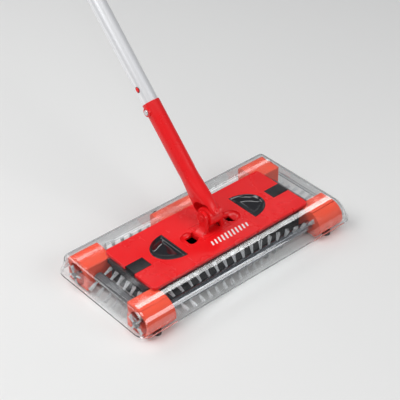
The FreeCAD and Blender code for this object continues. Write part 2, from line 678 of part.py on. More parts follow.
def gear_train():
    """Drive gear on the rear shaft, two-step reduction gear above the motor's pinion."""
    drive_radius = dim("drive_module") * dim("drive_teeth") / 2
    small_radius = dim("drive_module") * dim("small_teeth") / 2
    large_radius = dim("motor_module") * dim("large_teeth") / 2
    pinion_radius = dim("motor_module") * dim("pinion_teeth") / 2
    face = dim("gear_face")
    rear = Vector(0, dim("long_axis"), dim("brush_height"))
    idler = Vector(0, dim("idler_depth"), dim("idler_height"))
    motor = Vector(0, dim("motor_depth"), dim("brush_height"))
    to_rear = math.atan2(rear.z - idler.z, rear.y - idler.y)
    to_motor = math.atan2(motor.z - idler.z, motor.y - idler.y)
    at_drive = X_AXIS * (dim("drive_place") - face / 2)
    at_reduction = X_AXIS * (dim("reduction_place") - face / 2)

    def gear(teeth, radius, module, spot, bore, facing, gap):
        pitch = 2 * math.pi / teeth
        disc = toothed_disc(teeth, radius, module, face, bore, facing + (pitch / 2 if gap else 0))
        disc.translate(spot)
        return disc

    drive = gear(int(dim("drive_teeth")), drive_radius, dim("drive_module"), rear + at_drive,
                 dim("shaft_radius"), to_rear + math.pi, True)
    bore = dim("axle_radius") + dim("running_gap")
    small = gear(int(dim("small_teeth")), small_radius, dim("drive_module"), idler + at_drive,
                 bore, to_rear, False)
    large = gear(int(dim("large_teeth")), large_radius, dim("motor_module"), idler + at_reduction,
                 bore, to_motor, True)
    neck = Part.makeCylinder(3.2, 1.5, idler + at_drive + X_AXIS * face, X_AXIS)
    neck = neck.cut(Part.makeCylinder(bore, 10, idler + at_drive, X_AXIS))
    pinion = gear(int(dim("pinion_teeth")), pinion_radius, dim("motor_module"), motor + at_reduction, 1,
                  to_motor + math.pi, False)
    node("drive_gear", solid("drive_gear", drive))
    node("reduction_gear", solid("reduction_gear", small.fuse([large, neck])))
    node("motor_pinion", solid("motor_pinion", pinion))
    node("reduction_axle", rod("axle_rod", ("-18.5", "idler_depth", "idler_height"), "axle_radius", "19"))


def motor():
    centre = "drive_place + gear_face + 10 + motor_length/2"
    can = rod("can_drum", (centre, "motor_depth", "brush_height"), "motor_radius", "motor_length")
    nose = rod("can_nose", ("drive_place + 14", "motor_depth", "brush_height"), "3.4", "3")
    bore = rod("can_bore", ("0", "motor_depth", "brush_height"), "1 + running_gap", "100")
    node("motor_can", cut("can_cut", join("can_form", [can, nose]), [bore]))
    node("motor_shaft", rod("motor_shaft_rod",
                            ("drive_place + 6 + motor_length/2", "motor_depth", "brush_height"),
                            "1", "motor_length + 8"))


# ---------------------------------------------------------------- cells, socket and switch
def cells():
    bundle, straps = [], []
    strap_spot = ("cell_pitch - 26.2", "tub_floor + tub_wall + cell_radius")
    strap_size = ("0.6", "2*cell_pitch + 6", "6")
    for column in (-1, 1):
        for place in range(3):
            y = f"-26.2 + cell_pitch*{place}"
            z = "tub_floor + tub_wall + cell_radius + 0.2"
            bundle.append(rod(f"cell_{column + 1}_{place}", (f"{column}*(cell_length/2 + 1.2)", y, z),
                              "cell_radius", "cell_length"))
    for column in (-1, 1):
        straps.append(box(f"strap_{column + 1}", (f"{column}*(cell_length + 1.5)", *strap_spot), strap_size))
    straps.append(box("strap_middle", ("0", *strap_spot), strap_size))
    node("battery_cells", group("cell_group", bundle))
    node("cell_straps", group("strap_group", straps))


def charge_socket():
    """The charging inlet in the middle of the rear wall."""
    barrel = rod("socket_barrel", ("-18", "rear_shoulder + 0.4", "24"), "3.9", "7.2", "y")
    hole = rod("socket_hole", ("-18", "rear_shoulder + 3", "24"), "2.8", "9", "y")
    node("charge_socket", cut("socket_cut", barrel, [hole]))


def power_switch():
    """A rocker that rests with its rear edge up, on a pin through its case, along X."""
    spot, pivot = ("switch_place", "switch_depth"), "deck_top - switch_pivot"
    case = box("switch_case_block", (*spot, "deck_top - 3.8"),
               ("switch_long + 1.6", "switch_wide + 2", "9.2"))
    room = box("switch_case_room", (*spot, "deck_top - 1.4"),
               ("switch_long + 0.4", "switch_wide + 0.8", "10"))
    eye = rod("switch_case_eye", (*spot, pivot), "switch_pin + running_gap", "switch_long + 2")
    node("switch_case", cut("switch_case_cut", case, [room, eye]))
    long, wide = dim("switch_long"), dim("switch_wide")
    rocker = Part.makeBox(long, wide, 3.2, Vector(-long / 2, -wide / 2, -1.4))
    scoop = Part.makeCylinder(14, 20, Vector(-10, 0, 15.2), X_AXIS)
    pin = Part.makeCylinder(dim("switch_pin"), long + 1.2, Vector(-long / 2 - 0.6, 0, 0), X_AXIS)
    rocker = rocker.cut(scoop).fuse(pin)
    rocker.rotate(Vector(), X_AXIS, dim("switch_lean"))
    rocker.translate(Vector(dim("switch_place"), dim("switch_depth"), dim("deck_top") - dim("switch_pivot")))
    node("power_switch", solid("power_switch", rocker))


# ---------------------------------------------------------------- dust doors and their latches
def dust_door(word, side):
    """The bin's floor: a plate with a knuckle, a dirt ramp at its free edge and the latch's catch."""
    length = "tub_length/2 - bin_inner - 2.6"
    plate = box(f"{word}_door_plate",
                (f"{side}*(bin_inner + 2.6 + tub_length/2)/2", "0", "door_under + door_thick/2"),
                (length, "tub_depth", "door_thick"))
    knuckle = rod(f"{word}_knuckle", (f"{side}*bin_inner", "0", "hinge_height"), "knuckle_radius",
                  "tub_depth - 8.6", "y")
    web = box(f"{word}_web", (f"{side}*(bin_inner + 1.6)", "0", "door_under + 0.8"),
              ("3", "tub_depth - 8.6", "1.4"))
    ramp = box(f"{word}_ramp", (f"{side}*(tub_length/2 - 3)", "0", "door_under + door_thick + 2.4"),
               ("1.4", "tub_depth - 8", "5"))
    latch_spot = (f"{side}*(latch_inner + latch_outer)/2", "(latch_front + latch_rear)/2")
    floor = "door_under + door_thick"
    catch = rod(f"{word}_catch", (*latch_spot, f"{floor} + 2"), "stem_radius + 2.4", "4.4", "z")
    hollow = rod(f"{word}_catch_hole", (*latch_spot, f"{floor} + 2.6"), "stem_radius + 1", "5.2", "z")
    eye = rod(f"{word}_door_eye", (f"{side}*bin_inner", "0", "hinge_height"), "hinge_radius + running_gap",
              "tub_depth", "y")
    form = join(f"{word}_door_form", [plate, knuckle, web, ramp, catch])
    node(f"{word}_dust_door", cut(f"{word}_door_cut", form, [hollow, eye]))


def hinge_pins():
    pins = [rod(f"{word}_pin_rod", (f"{side}*bin_inner", "0", "hinge_height"), "hinge_radius",
                "tub_depth - 2.4", "y") for word, side in (("left", -1), ("right", 1))]
    node("hinge_pins", group("pin_group", pins))


def door_latch(word, side):
    """A flush black key with a long stem: pressed, the stem frees the door's catch."""
    x, y = f"{side}*(latch_inner + latch_outer)/2", "(latch_front + latch_rear)/2"
    key = box(f"{word}_key", (x, y, "deck_top - 0.5"),
              ("latch_outer - latch_inner - 0.6", "latch_rear - latch_front - 0.6", "1.4"))
    stem = rod(f"{word}_stem", (x, y, "(deck_top + door_under)/2 + 3.1"), "stem_radius",
               "deck_top - door_under - 8", "z")
    node(f"{word}_latch", join(f"{word}_latch_form", [key, stem]))
    sleeve = tube(f"{word}_spring_sleeve", (x, y, "tub_rim + 1.9"), "stem_radius + 1", "stem_radius + 0.2",
                  "3.6", "z")
    node(f"{word}_latch_spring", sleeve)


# ---------------------------------------------------------------- two-axis joint
def handle_bracket():
    """The two ears that carry the tilt pin; their rear sides are cut back for the fork."""
    base = box("bracket_base", ("0", "pivot_depth", "deck_top - 1.2"), ("2*bracket_half", "26", "2.8"))
    foot = box("bracket_foot", ("0", "pivot_depth", "(tub_rim + deck_top)/2 - 1"),
               ("2*ear_outer + 4", "22", "deck_top - tub_rim - 1"))
    pieces = [base, foot]
    for side in (-1, 1):
        middle = f"{side}*(ear_inner + ear_outer)/2"
        thick = "ear_outer - ear_inner"
        pieces.append(rod(f"ear_disc_{side + 1}", (middle, "pivot_depth", "pivot_height"),
                          "ear_radius", thick))
        pieces.append(box(f"ear_stem_{side + 1}",
                          (middle, "pivot_depth - 1.65", "(pivot_height + deck_top)/2"),
                          (thick, "2*ear_radius - 3.3", "pivot_height - deck_top")))
        low, high = dim("deck_top"), dim("deck_top") + 9
        out, far = dim("ear_outer"), dim("bracket_half") - 0.6
        corners = ((out - 1, low), (far, low), (out + 2, low + 3.4), (out - 1, high))
        web = polygon([(side * x, 0, z) for x, z in corners])
        gusset = web.extrude(Vector(0, 11.6, 0))
        gusset.translate(Vector(0, dim("pivot_depth") - 7.4, 0))
        pieces.append(solid(f"ear_gusset_{side + 1}", gusset))
    whole = join("bracket_form", pieces)
    bore = rod("bracket_bore", ("0", "pivot_depth", "pivot_height"), "tilt_pin_radius", "60")
    relief = rod("hub_relief", ("0", "pivot_depth", "pivot_height"), "hub_radius + 3.6", "2*ear_inner")
    node("handle_bracket", cut("bracket_cut", whole, [bore, relief]))
    pin = rod("tilt_pin_rod", ("0", "pivot_depth", "pivot_height"), "tilt_pin_radius", "2*ear_outer + 0.6")
    node("tilt_pin", pin)


def along_handle(thing):
    """Turn a piece that is built about the pivot, with the handle upright, to the rest tilt."""
    rest = Placement(Vector(0, dim("pivot_depth"), dim("pivot_height")), Rotation(X_AXIS, -dim("rest_tilt")))
    thing.Placement = rest.multiply(thing.Placement)
    return thing


def swivel_hub():
    drum = rod("hub_drum", ("0", "0", "0"), "hub_radius", "2*hub_half")
    bores = [rod("hub_cross_bore", ("0", "0", "0"), "tilt_pin_radius + running_gap", "40")]
    for side in (-1, 1):
        bores.append(rod(f"hub_bore_{side + 1}", ("0", f"{side}*(3 + 10)", "0"),
                         "swivel_pin_radius + running_gap", "20", "y"))
    node("swivel_hub", along_handle(cut("hub_cut", drum, bores)))
    stubs = [rod(f"stub_{side + 1}", ("0", f"{side}*(3.4 + arm_outer - 0.4)/2", "0"), "swivel_pin_radius",
                 "arm_outer - 0.4 - 3.4", "y") for side in (-1, 1)]
    node("swivel_pins", along_handle(group("stubs", stubs)))


def fork_section(height, x_half, y_half, squareness):
    """A closed smooth section: an ellipse at squareness 2, boxier above it."""
    ring = []
    for i in range(24):
        turn = 2 * math.pi * i / 24
        reach = (abs(math.cos(turn)) ** squareness + abs(math.sin(turn)) ** squareness) ** (-1 / squareness)
        ring.append(Vector(x_half * reach * math.cos(turn), y_half * reach * math.sin(turn), height))
    curve = Part.BSplineCurve()
    curve.interpolate(ring, PeriodicFlag=True)
    return Part.Wire([curve.toShape()])


def fork_form():
    """Round at the socket, deep and boxy at the fork, with an arch cut over the hub."""
    out, body = dim("arm_outer"), dim("socket_radius")
    sections = [fork_section(*row) for row in (
        (-8, 8.4, out, 2.7), (6, 8.6, out, 2.7), (17, 9.6, out - 0.3, 2.6), (30, body, 12.6, 2.3),
        (45, body - 0.06, body + 0.3, 2), (58, body - 0.06, body - 0.06, 2))]
    block = Part.makeLoft(sections, True, False)
    inner = dim("arm_inner")
    slot = Part.makeBox(42, 2 * inner, 60, Vector(-21, -inner, -20))
    gap = Part.makeBox(42, 2 * inner, 29.6, Vector(-21, -inner, -20))
    dome = Part.makeCylinder(15.4, 42, Vector(-21, 0, 0), X_AXIS).common(slot)
    crown = Part.makeCylinder(9.8, 42, Vector(-21, 1.5, 9.8), X_AXIS)
    return block.cut(gap.fuse([dome, crown]))


def fork_front():
    """The fork seen from the front: round eyes that widen into the socket."""
    eye, body = dim("eye_radius"), dim("socket_radius")
    face = polygon([(-eye, 0, 0), (eye, 0, 0), (6.2, 0, 9), (9, 0, 17), (body, 0, 30), (body, 0, 62),
                    (-body, 0, 62), (-body, 0, 30), (-9, 0, 17), (-6.2, 0, 9)])
    block = face.extrude(Vector(0, 40, 0))
    block.translate(Vector(0, -20, 0))
    return block.fuse(Part.makeCylinder(eye, 40, Vector(0, -20, 0), Y_AXIS))


def handle_socket():
    """Fork and socket in one moulding; the tube is pushed into the socket."""
    lower = fork_form().common(fork_front())
    start = 56
    tube_start = dim("tube_start")
    upper = Part.makeCylinder(dim("socket_radius"), dim("socket_end") - start, Vector(0, 0, start), Z_AXIS)
    boss = Part.makeCylinder(5.4, 3, Vector(-dim("socket_radius") - 1.2, 0, dim("snap_place")), X_AXIS)
    bore = Part.makeCylinder(dim("tube_radius"), 200, Vector(0, 0, tube_start), Z_AXIS)
    hole = Part.makeCylinder(3.5, 20, Vector(-20, 0, dim("snap_place")), X_AXIS)
    pin = Part.makeCylinder(dim("swivel_pin_radius"), 60, Vector(0, -30, 0), Y_AXIS)
    socket = upper.fuse(boss).cut(bore).cut(hole)
    whole = lower.cut(pin).fuse(socket)
    node("handle_socket", along_handle(solid("handle_socket", whole)))


# ---------------------------------------------------------------- handle
def handle_tubes():
    """Three tubes joined end to end by collars with inner plugs."""
    pitch = "tube_length + collar_gap"
    for i, word in enumerate(("lower", "middle", "upper")):
        low = f"tube_start + {i}*({pitch})"
        pipe = tube(f"{word}_pipe", ("0", "0", f"{low} + tube_length/2"), "tube_radius",
                    "tube_radius - tube_wall", "tube_length", "z")
        if word == "lower":
            hole = rod("snap_hole", ("0 - tube_radius", "0", "snap_place"), "3.5", "8")
            pipe = cut("lower_pipe_cut", pipe, [hole])
        node(f"{word}_tube", along_handle(pipe))
    collars = []
    for i, word in enumerate(("lower", "upper")):
        spot = f"tube_start + {i + 1}*({pitch}) - collar_gap/2"
        ring = rod(f"{word}_collar_ring", ("0", "0", spot), "tube_radius + 1.2", "collar_gap", "z")
        plug = rod(f"{word}_collar_plug", ("0", "0", spot), "tube_radius - tube_wall", "56", "z")
        bore = rod(f"{word}_collar_bore", ("0", "0", spot), "tube_radius - tube_wall - 1.6", "60", "z")
        collars.append(cut(f"{word}_collar_cut", join(f"{word}_collar_form", [ring, plug]), [bore]))
    node("tube_collars", along_handle(group("collar_group", collars)))


def snap_button():
    """The button and its bent leaf spring inside the lower tube."""
    reach = dim("socket_radius") + 2.6
    button = Part.makeCylinder(3.4, 5, Vector(-reach, 0, 0), X_AXIS)
    crest = [e for e in button.Edges if e.CenterOfMass.x < -reach + 0.1 and e.Length > 10]
    button = button.makeFillet(1.2, crest)
    button.translate(Z_AXIS * dim("snap_place"))
    node("snap_button", along_handle(solid("snap_button", button)))
    node("snap_spring", along_handle(solid("snap_spring", snap_leaf())))


def snap_leaf():
    """A leaf bent over into two legs: one behind the button, one against the tube's far side."""
    thick, wide, leg, middle = 0.6, 5, 12, 1.2
    bend = 6.4
    crown = Part.makeCylinder(bend, wide, Vector(middle, -wide / 2, 0), Y_AXIS)
    crown = crown.cut(Part.makeCylinder(bend - thick, wide, Vector(middle, -wide / 2, 0), Y_AXIS))
    crown = crown.common(Part.makeBox(2 * bend, wide, bend, Vector(middle - bend, -wide / 2, 0)))
    near = Part.makeBox(thick, wide, leg, Vector(middle - bend, -wide / 2, -leg))
    far = Part.makeBox(thick, wide, leg, Vector(middle + bend - thick, -wide / 2, -leg))
    leaf = crown.fuse([near, far])
    leaf.translate(Z_AXIS * (dim("snap_place") + 5))
    return leaf


def grip():
    end = dim("tube_start") + 3 * dim("tube_length") + 2 * dim("collar_gap")
    start = end - 40
    length, radius = dim("grip_length"), dim("grip_radius")
    body = Part.makeCylinder(radius - 2, length, Vector(0, 0, start), Z_AXIS)
    wide_at = start + 8 + length * 0.45
    swell = Part.makeCone(radius - 2, radius, length * 0.45, Vector(0, 0, start + 8), Z_AXIS)
    swell = swell.fuse(Part.makeCone(radius, radius - 2, length * 0.35, Vector(0, 0, wide_at), Z_AXIS))
    whole = body.fuse(swell)
    top = start + length
    flat = Part.makeBox(60, 60, 40, Vector(dim("hang_radius") + 2, -30, top - 26))
    other = Part.makeBox(60, 60, 40, Vector(-60 - dim("hang_radius") - 2, -30, top - 26))
    whole = whole.cut(flat.fuse(other))
    whole = whole.cut(Part.makeCylinder(dim("hang_radius"), 60, Vector(-30, 0, top - 12), X_AXIS))
    whole = whole.cut(Part.makeCylinder(dim("tube_radius"), length - 32, Vector(0, 0, start), Z_AXIS))
    node("grip", along_handle(solid("grip", whole)))


scratch = doc.addObject("Part::Box", "scratch")
clear_cover()
deck_cover()
window("left_window", -1)
window("right_window", 1)
chassis()
corner_housings()
rear_gear_housing()
glide_feet()
housing_screws()
brush_bushes()
long_brushes()
side_brushes()
mitre_gears()
gear_train()
motor()
cells()
charge_socket()
power_switch()
for word, side in (("left", -1), ("right", 1)):
    dust_door(word, side)
    door_latch(word, side)
hinge_pins()
handle_bracket()
swivel_hub()
handle_socket()
handle_tubes()
snap_button()
grip()
doc.removeObject("scratch")
doc.recompute()

failed = [thing.Name for thing in doc.Objects if {"Invalid", "Error"} & set(thing.State)]
bad = [thing.Label for thing in nodes if thing.Shape.isNull() or not thing.Shape.isValid()]
if failed or bad:
    raise RuntimeError(f"failed: {failed}; bad shapes: {bad}")
os.makedirs("parts", exist_ok=True)
for thing in nodes:
    thing.Shape.exportStep(f"parts/{thing.Label}.step")
print(len(nodes), "sub-parts written")
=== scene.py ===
# %% [markdown]
# # A cordless carpet sweeper
#
# The sweeper is a flat head with four turning brushes under a clear cover, a red deck and a
# long tube handle on a two-axis joint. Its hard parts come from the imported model, which fixes
# every size and place. This lesson adds what the eye judges: the plastics, the metal, the
# clear cover and the nylon bristles. It starts by loading that frame.

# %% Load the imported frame
import bpy
import bmesh
import json
import math
from mathutils import Matrix, Vector


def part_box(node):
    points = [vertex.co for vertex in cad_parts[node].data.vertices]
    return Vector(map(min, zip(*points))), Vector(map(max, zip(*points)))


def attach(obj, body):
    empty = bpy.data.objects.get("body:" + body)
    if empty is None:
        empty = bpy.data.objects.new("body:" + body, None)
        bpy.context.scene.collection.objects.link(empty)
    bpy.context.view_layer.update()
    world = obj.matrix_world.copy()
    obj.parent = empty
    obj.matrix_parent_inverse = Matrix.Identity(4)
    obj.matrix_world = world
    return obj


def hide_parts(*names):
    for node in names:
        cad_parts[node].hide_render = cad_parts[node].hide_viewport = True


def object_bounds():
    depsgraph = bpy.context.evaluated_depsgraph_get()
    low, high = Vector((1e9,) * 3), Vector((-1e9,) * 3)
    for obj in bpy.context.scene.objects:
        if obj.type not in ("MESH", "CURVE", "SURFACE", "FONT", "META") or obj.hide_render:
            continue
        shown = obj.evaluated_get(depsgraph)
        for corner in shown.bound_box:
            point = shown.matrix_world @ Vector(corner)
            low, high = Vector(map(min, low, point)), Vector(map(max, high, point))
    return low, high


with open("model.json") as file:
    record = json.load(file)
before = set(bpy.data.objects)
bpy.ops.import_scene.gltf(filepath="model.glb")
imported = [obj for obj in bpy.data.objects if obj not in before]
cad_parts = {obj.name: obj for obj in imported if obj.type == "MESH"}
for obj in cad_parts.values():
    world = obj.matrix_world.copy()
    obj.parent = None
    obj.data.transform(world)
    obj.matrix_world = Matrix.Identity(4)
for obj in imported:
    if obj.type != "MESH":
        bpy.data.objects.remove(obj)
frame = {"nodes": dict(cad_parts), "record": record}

MM = 0.001
cad_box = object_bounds()
nodes = frame["nodes"]

# %% [markdown]
# ## The camera
#
# A catalogue view of a small appliance is taken from above and one side with a long lens, so
# that parallel edges stay nearly parallel. The camera is placed on a line that leaves the
# point looked at, given by its compass angle and its height angle. A long lens far away gives
# a calm perspective, which a short lens close by would not.

# %% Camera on a long lens
LOOK_AT = Vector((0.0246, 0.0429, 0.0413))
AZIMUTH, ELEVATION = math.radians(-41.44), math.radians(36.63)
CAMERA_DISTANCE = 1.3703


def direction(azimuth, elevation):
    """Unit vector from the subject towards a viewer; azimuth 0 stands at -Y."""
    flat = math.cos(elevation)
    return Vector((math.sin(azimuth) * flat, -math.cos(azimuth) * flat, math.sin(elevation)))


lens = bpy.data.cameras.new("camera")
lens.sensor_width = 36
lens.lens = 106.19
lens.clip_start, lens.clip_end = 0.05, 20
camera = bpy.data.objects.new("camera", lens)
bpy.context.scene.collection.objects.link(camera)
camera.location = LOOK_AT + direction(AZIMUTH, ELEVATION) * CAMERA_DISTANCE
camera.rotation_euler = direction(AZIMUTH, ELEVATION).to_track_quat("Z", "Y").to_euler()
bpy.context.scene.camera = camera
print("camera at", [round(v, 3) for v in camera.location])

# %% [markdown]
# ## Floor and studio light
#
# Glossy plastic shows its shape by what it mirrors. Big soft panels give long clean bands of
# light along the deck, the cover's rounded front and the tube, and a pale room fills the
# shadows. Small hard lamps would leave only hot dots, so every lamp here is a large area.

# %% A pale floor
def object_from(name, mesh):
    """A new object in the scene for a finished mesh."""
    made = bpy.data.objects.new(name, mesh)
    bpy.context.scene.collection.objects.link(made)
    return made


FLOOR_HALF = 4.0
FLOOR_GAP = 0.0001
floor_mesh = bpy.data.meshes.new("floor")
floor_height = cad_box[0][2] - FLOOR_GAP
corners = [(x * FLOOR_HALF, y * FLOOR_HALF, floor_height) for x, y in ((-1, -1), (1, -1), (1, 1), (-1, 1))]
floor_mesh.from_pydata(corners, [], [(0, 1, 2, 3)])
floor = object_from("floor", floor_mesh)


# %% Soft panels and a pale room
def panel(name, azimuth, elevation, distance, size, power):
    """A square or oblong area lamp that faces the head of the sweeper."""
    lamp = bpy.data.lights.new(name, "AREA")
    lamp.shape = "RECTANGLE"
    lamp.size, lamp.size_y = size
    lamp.energy = power
    holder = bpy.data.objects.new(name, lamp)
    bpy.context.scene.collection.objects.link(holder)
    way = direction(math.radians(azimuth), math.radians(elevation))
    holder.location = LOOK_AT + way * distance
    holder.rotation_euler = way.to_track_quat("Z", "Y").to_euler()
    return holder


panel("key_panel", -105, 52, 1.9, (1.2, 1.2), 20)
panel("front_panel", 15, 30, 2.0, (1.5, 0.8), 12)
panel("back_panel", -160, 40, 1.9, (1.0, 0.7), 6)
panel("top_panel", 20, 84, 2.2, (0.9, 0.9), 10)

# %% [markdown]
# A thin strip makes the bright band on the cover's flat top, between the deck and the round
# front, and a weaker one makes the band behind the deck. A flat top mirrors a lamp only where
# the line from the camera's mirror image through the plastic meets it. So that line is drawn
# through the middle of the wanted band, and the strip is set on it, as wide as the band grows
# over that distance.

# %% The strips that the cover mirrors
BAND_MIDDLE = 0.02
FRONT_BAND, REAR_BAND = (-0.045, -0.059), (0.056, 0.050)
STRIP_LENGTH, STRIP_DISTANCE = 1.1, 1.2


def mirrored_strip(name, band, length, distance, power):
    """A strip lamp whose mirror image in the cover's top fills the band (y from, y to)."""
    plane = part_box("clear_cover")[1].z
    image = camera.location.copy()
    image.z = 2 * plane - image.z
    middle = Vector((BAND_MIDDLE, sum(band) / 2, plane))
    way = (middle - image).normalized()
    growth = ((middle - image).length + distance) / (middle - image).length
    lamp = bpy.data.lights.new(name, "AREA")
    lamp.shape = "RECTANGLE"
    lamp.size, lamp.size_y = length, abs(band[1] - band[0]) * growth * abs(way.z)
    lamp.energy = power
    holder = bpy.data.objects.new(name, lamp)
    bpy.context.scene.collection.objects.link(holder)
    holder.location = middle + way * distance
    long = Vector((1, 0, 0))
    wide = way.cross(long).normalized()
    long = wide.cross(way).normalized()
    holder.rotation_euler = Matrix((long, wide, way)).transposed().to_euler()
    return holder


mirrored_strip("band_strip", FRONT_BAND, STRIP_LENGTH, STRIP_DISTANCE, 0.30)
mirrored_strip("rear_band_strip", REAR_BAND, STRIP_LENGTH, STRIP_DISTANCE, 0.06)

room = bpy.data.worlds.new("room")
bpy.context.scene.world = room
room.use_nodes = True
room.node_tree.nodes["Background"].inputs["Color"].default_value = (0.93, 0.95, 1.0, 1)
room.node_tree.nodes["Background"].inputs["Strength"].default_value = 0.18
bpy.context.scene.view_settings.view_transform = "Standard"
print("lamps:", len(bpy.data.lights))

# %% [markdown]
# ## Shared surface effects
#
# Moulded plastic is never perfectly even. It has a very fine grain from the mould, broad soft
# patches where hands and dust have dulled the gloss, and hair-fine scratches. Several
# materials need the same three effects, so they are made once, as a node group that puts out
# masks only. Each material then decides how strongly it uses them.

# %% Node helpers
def step(tree, kind, **settings):
    """A new node with its settings filled in."""
    made = tree.nodes.new(kind)
    for key, value in settings.items():
        setattr(made, key, value)
    return made


def feed(tree, target, source):
    """Join a socket to another socket, or set it to a plain value."""
    if isinstance(source, bpy.types.NodeSocket):
        tree.links.new(source, target)
    else:
        target.default_value = source


def worked_out(tree, kind, operation, *sources):
    """One arithmetic node, with its sources in order; returns what it puts out."""
    made = step(tree, kind, operation=operation)
    for target, source in zip(made.inputs, sources):
        feed(tree, target, source)
    return made.outputs[0]


def noise(tree, place, scale, detail=2.0, roughness=0.5):
    """The value of a noise texture at a place."""
    made = step(tree, "ShaderNodeTexNoise")
    feed(tree, made.inputs["Vector"], place)
    feed(tree, made.inputs["Scale"], scale)
    made.inputs["Detail"].default_value = detail
    made.inputs["Roughness"].default_value = roughness
    return made.outputs["Fac"]


def ramp(tree, source, low, high, to_low=0.0, to_high=1.0):
    """A smooth change from one value to another while the source goes from low to high."""
    made = step(tree, "ShaderNodeMapRange", interpolation_type="SMOOTHSTEP")
    for name, value in (("Value", source), ("From Min", low), ("From Max", high),
                        ("To Min", to_low), ("To Max", to_high)):
        feed(tree, made.inputs[name], value)
    return made.outputs["Result"]


# %% The wear group: grain, patches and scratches
def wear_group():
    """Masks for moulding grain, dull patches and fine scratches, on object coordinates."""
    group = bpy.data.node_groups.new("surface_wear", "ShaderNodeTree")
    for label, value in (("Grain Scale", 3000.0), ("Patch Scale", 18.0), ("Scratch Scale", 260.0)):
        item = group.interface.new_socket(label, in_out="INPUT", socket_type="NodeSocketFloat")
        item.default_value = value
    for label in ("Grain", "Patches", "Scratches"):
        group.interface.new_socket(label, in_out="OUTPUT", socket_type="NodeSocketFloat")
    inside, outside = step(group, "NodeGroupInput"), step(group, "NodeGroupOutput")
    place = step(group, "ShaderNodeTexCoord").outputs["Object"]
    feed(group, outside.inputs["Grain"], noise(group, place, inside.outputs["Grain Scale"], 1.0))
    patches = noise(group, place, inside.outputs["Patch Scale"], 4.0, 0.6)
    feed(group, outside.inputs["Patches"], ramp(group, patches, 0.42, 0.66))
    turned = step(group, "ShaderNodeMapping")
    turned.inputs["Rotation"].default_value = (0.3, 0.2, 0.9)
    turned.inputs["Scale"].default_value = (1.0, 0.035, 1.0)
    feed(group, turned.inputs["Vector"], place)
    lines = noise(group, turned.outputs["Vector"], inside.outputs["Scratch Scale"], 1.5)
    here = ramp(group, noise(group, place, 35.0, 2.0), 0.48, 0.62)
    thin = ramp(group, lines, 0.66, 0.72)
    feed(group, outside.inputs["Scratches"], worked_out(group, "ShaderNodeMath", "MULTIPLY", thin, here))
    return group


wear = wear_group()
print("shared group puts out", [s.name for s in wear.interface.items_tree if s.in_out == "OUTPUT"])

# %% [markdown]
# ## Plastics
#
# The deck, the housings and the fork are injection-moulded and glossy; the chassis is the
# same plastic from a textured mould, so it is matt. One function makes all of them: it mixes
# two close colours over the dull patches, lifts the roughness there, and presses the mould's
# grain in with a very small bump. Uniform values, such as the coat, stay on the shader itself.

# %% A moulded plastic
def new_material(name):
    """An empty material; returns it with its tree and its shader."""
    made = bpy.data.materials.new(name)
    made.use_nodes = True
    return made, made.node_tree, made.node_tree.nodes["Principled BSDF"]


def mixed(tree, mask, first, second):
    """A colour between two, by a mask."""
    made = step(tree, "ShaderNodeMix", data_type="RGBA")
    feed(tree, made.inputs["Factor"], mask)
    feed(tree, made.inputs["A"], first)
    feed(tree, made.inputs["B"], second)
    return made.outputs["Result"]


def rgba(colour):
    return (*colour, 1.0)


def moulded(name, colour, dull, roughness, grain=0.02, grain_scale=3000.0, coat=0.0):
    """Injection-moulded plastic; dull is the colour of its worn patches."""
    made, tree, shader = new_material(name)
    group = step(tree, "ShaderNodeGroup", node_tree=wear)
    group.inputs["Grain Scale"].default_value = grain_scale
    tone = mixed(tree, group.outputs["Patches"], rgba(colour), rgba(dull))
    feed(tree, shader.inputs["Base Color"], tone)
    smooth, rough = roughness
    patchy = ramp(tree, group.outputs["Patches"], 0.0, 1.0, smooth, rough)
    scratched = worked_out(tree, "ShaderNodeMath", "MULTIPLY_ADD", group.outputs["Scratches"], 0.18, patchy)
    feed(tree, shader.inputs["Roughness"], scratched)
    bump = step(tree, "ShaderNodeBump")
    bump.inputs["Strength"].default_value = grain
    bump.inputs["Distance"].default_value = 0.0002
    feed(tree, bump.inputs["Height"], group.outputs["Grain"])
    feed(tree, shader.inputs["Normal"], bump.outputs["Normal"])
    shader.inputs["Coat Weight"].default_value = coat
    return made


deck_red = moulded("deck_red", (0.84, 0.008, 0.011), (0.79, 0.009, 0.012), (0.24, 0.32), 0.05, 1500.0)
housing_red = moulded("housing_red", (0.90, 0.085, 0.035), (0.82, 0.090, 0.042), (0.20, 0.28), 0.03)
fork_red = moulded("fork_red", (0.84, 0.009, 0.012), (0.78, 0.010, 0.013), (0.26, 0.36), 0.08, 1200.0)
matt_black = moulded("matt_black", (0.020, 0.020, 0.022), (0.034, 0.034, 0.035), (0.42, 0.55),
                     0.25, 1400.0)
gloss_black = moulded("gloss_black", (0.012, 0.012, 0.014), (0.018, 0.018, 0.020), (0.10, 0.20), 0.02)
pad_black = moulded("pad_black", (0.030, 0.030, 0.030), (0.05, 0.05, 0.048), (0.5, 0.7), 0.2)
white_nylon = moulded("white_nylon", (0.78, 0.77, 0.72), (0.70, 0.68, 0.62), (0.34, 0.45), 0.05)
grey_core = moulded("grey_core", (0.085, 0.090, 0.095), (0.11, 0.11, 0.115), (0.24, 0.34), 0.04)
smoked_lens = moulded("smoked_lens", (0.010, 0.010, 0.013), (0.016, 0.015, 0.018), (0.04, 0.10),
                      0.0, coat=0.6)
cell_sleeve = moulded("cell_sleeve", (0.03, 0.16, 0.07), (0.04, 0.18, 0.08), (0.25, 0.4), 0.05)
print("plastics:", len(bpy.data.materials))

# %% [markdown]
# ## Metals
#
# The tubes are drawn aluminium under a pale satin film: their gloss has fine streaks along the
# drawing direction. A noise squeezed hard along one axis gives such streaks. The handle leans
# back, so a Mapping node first turns the pattern until its long direction lies along the tube.

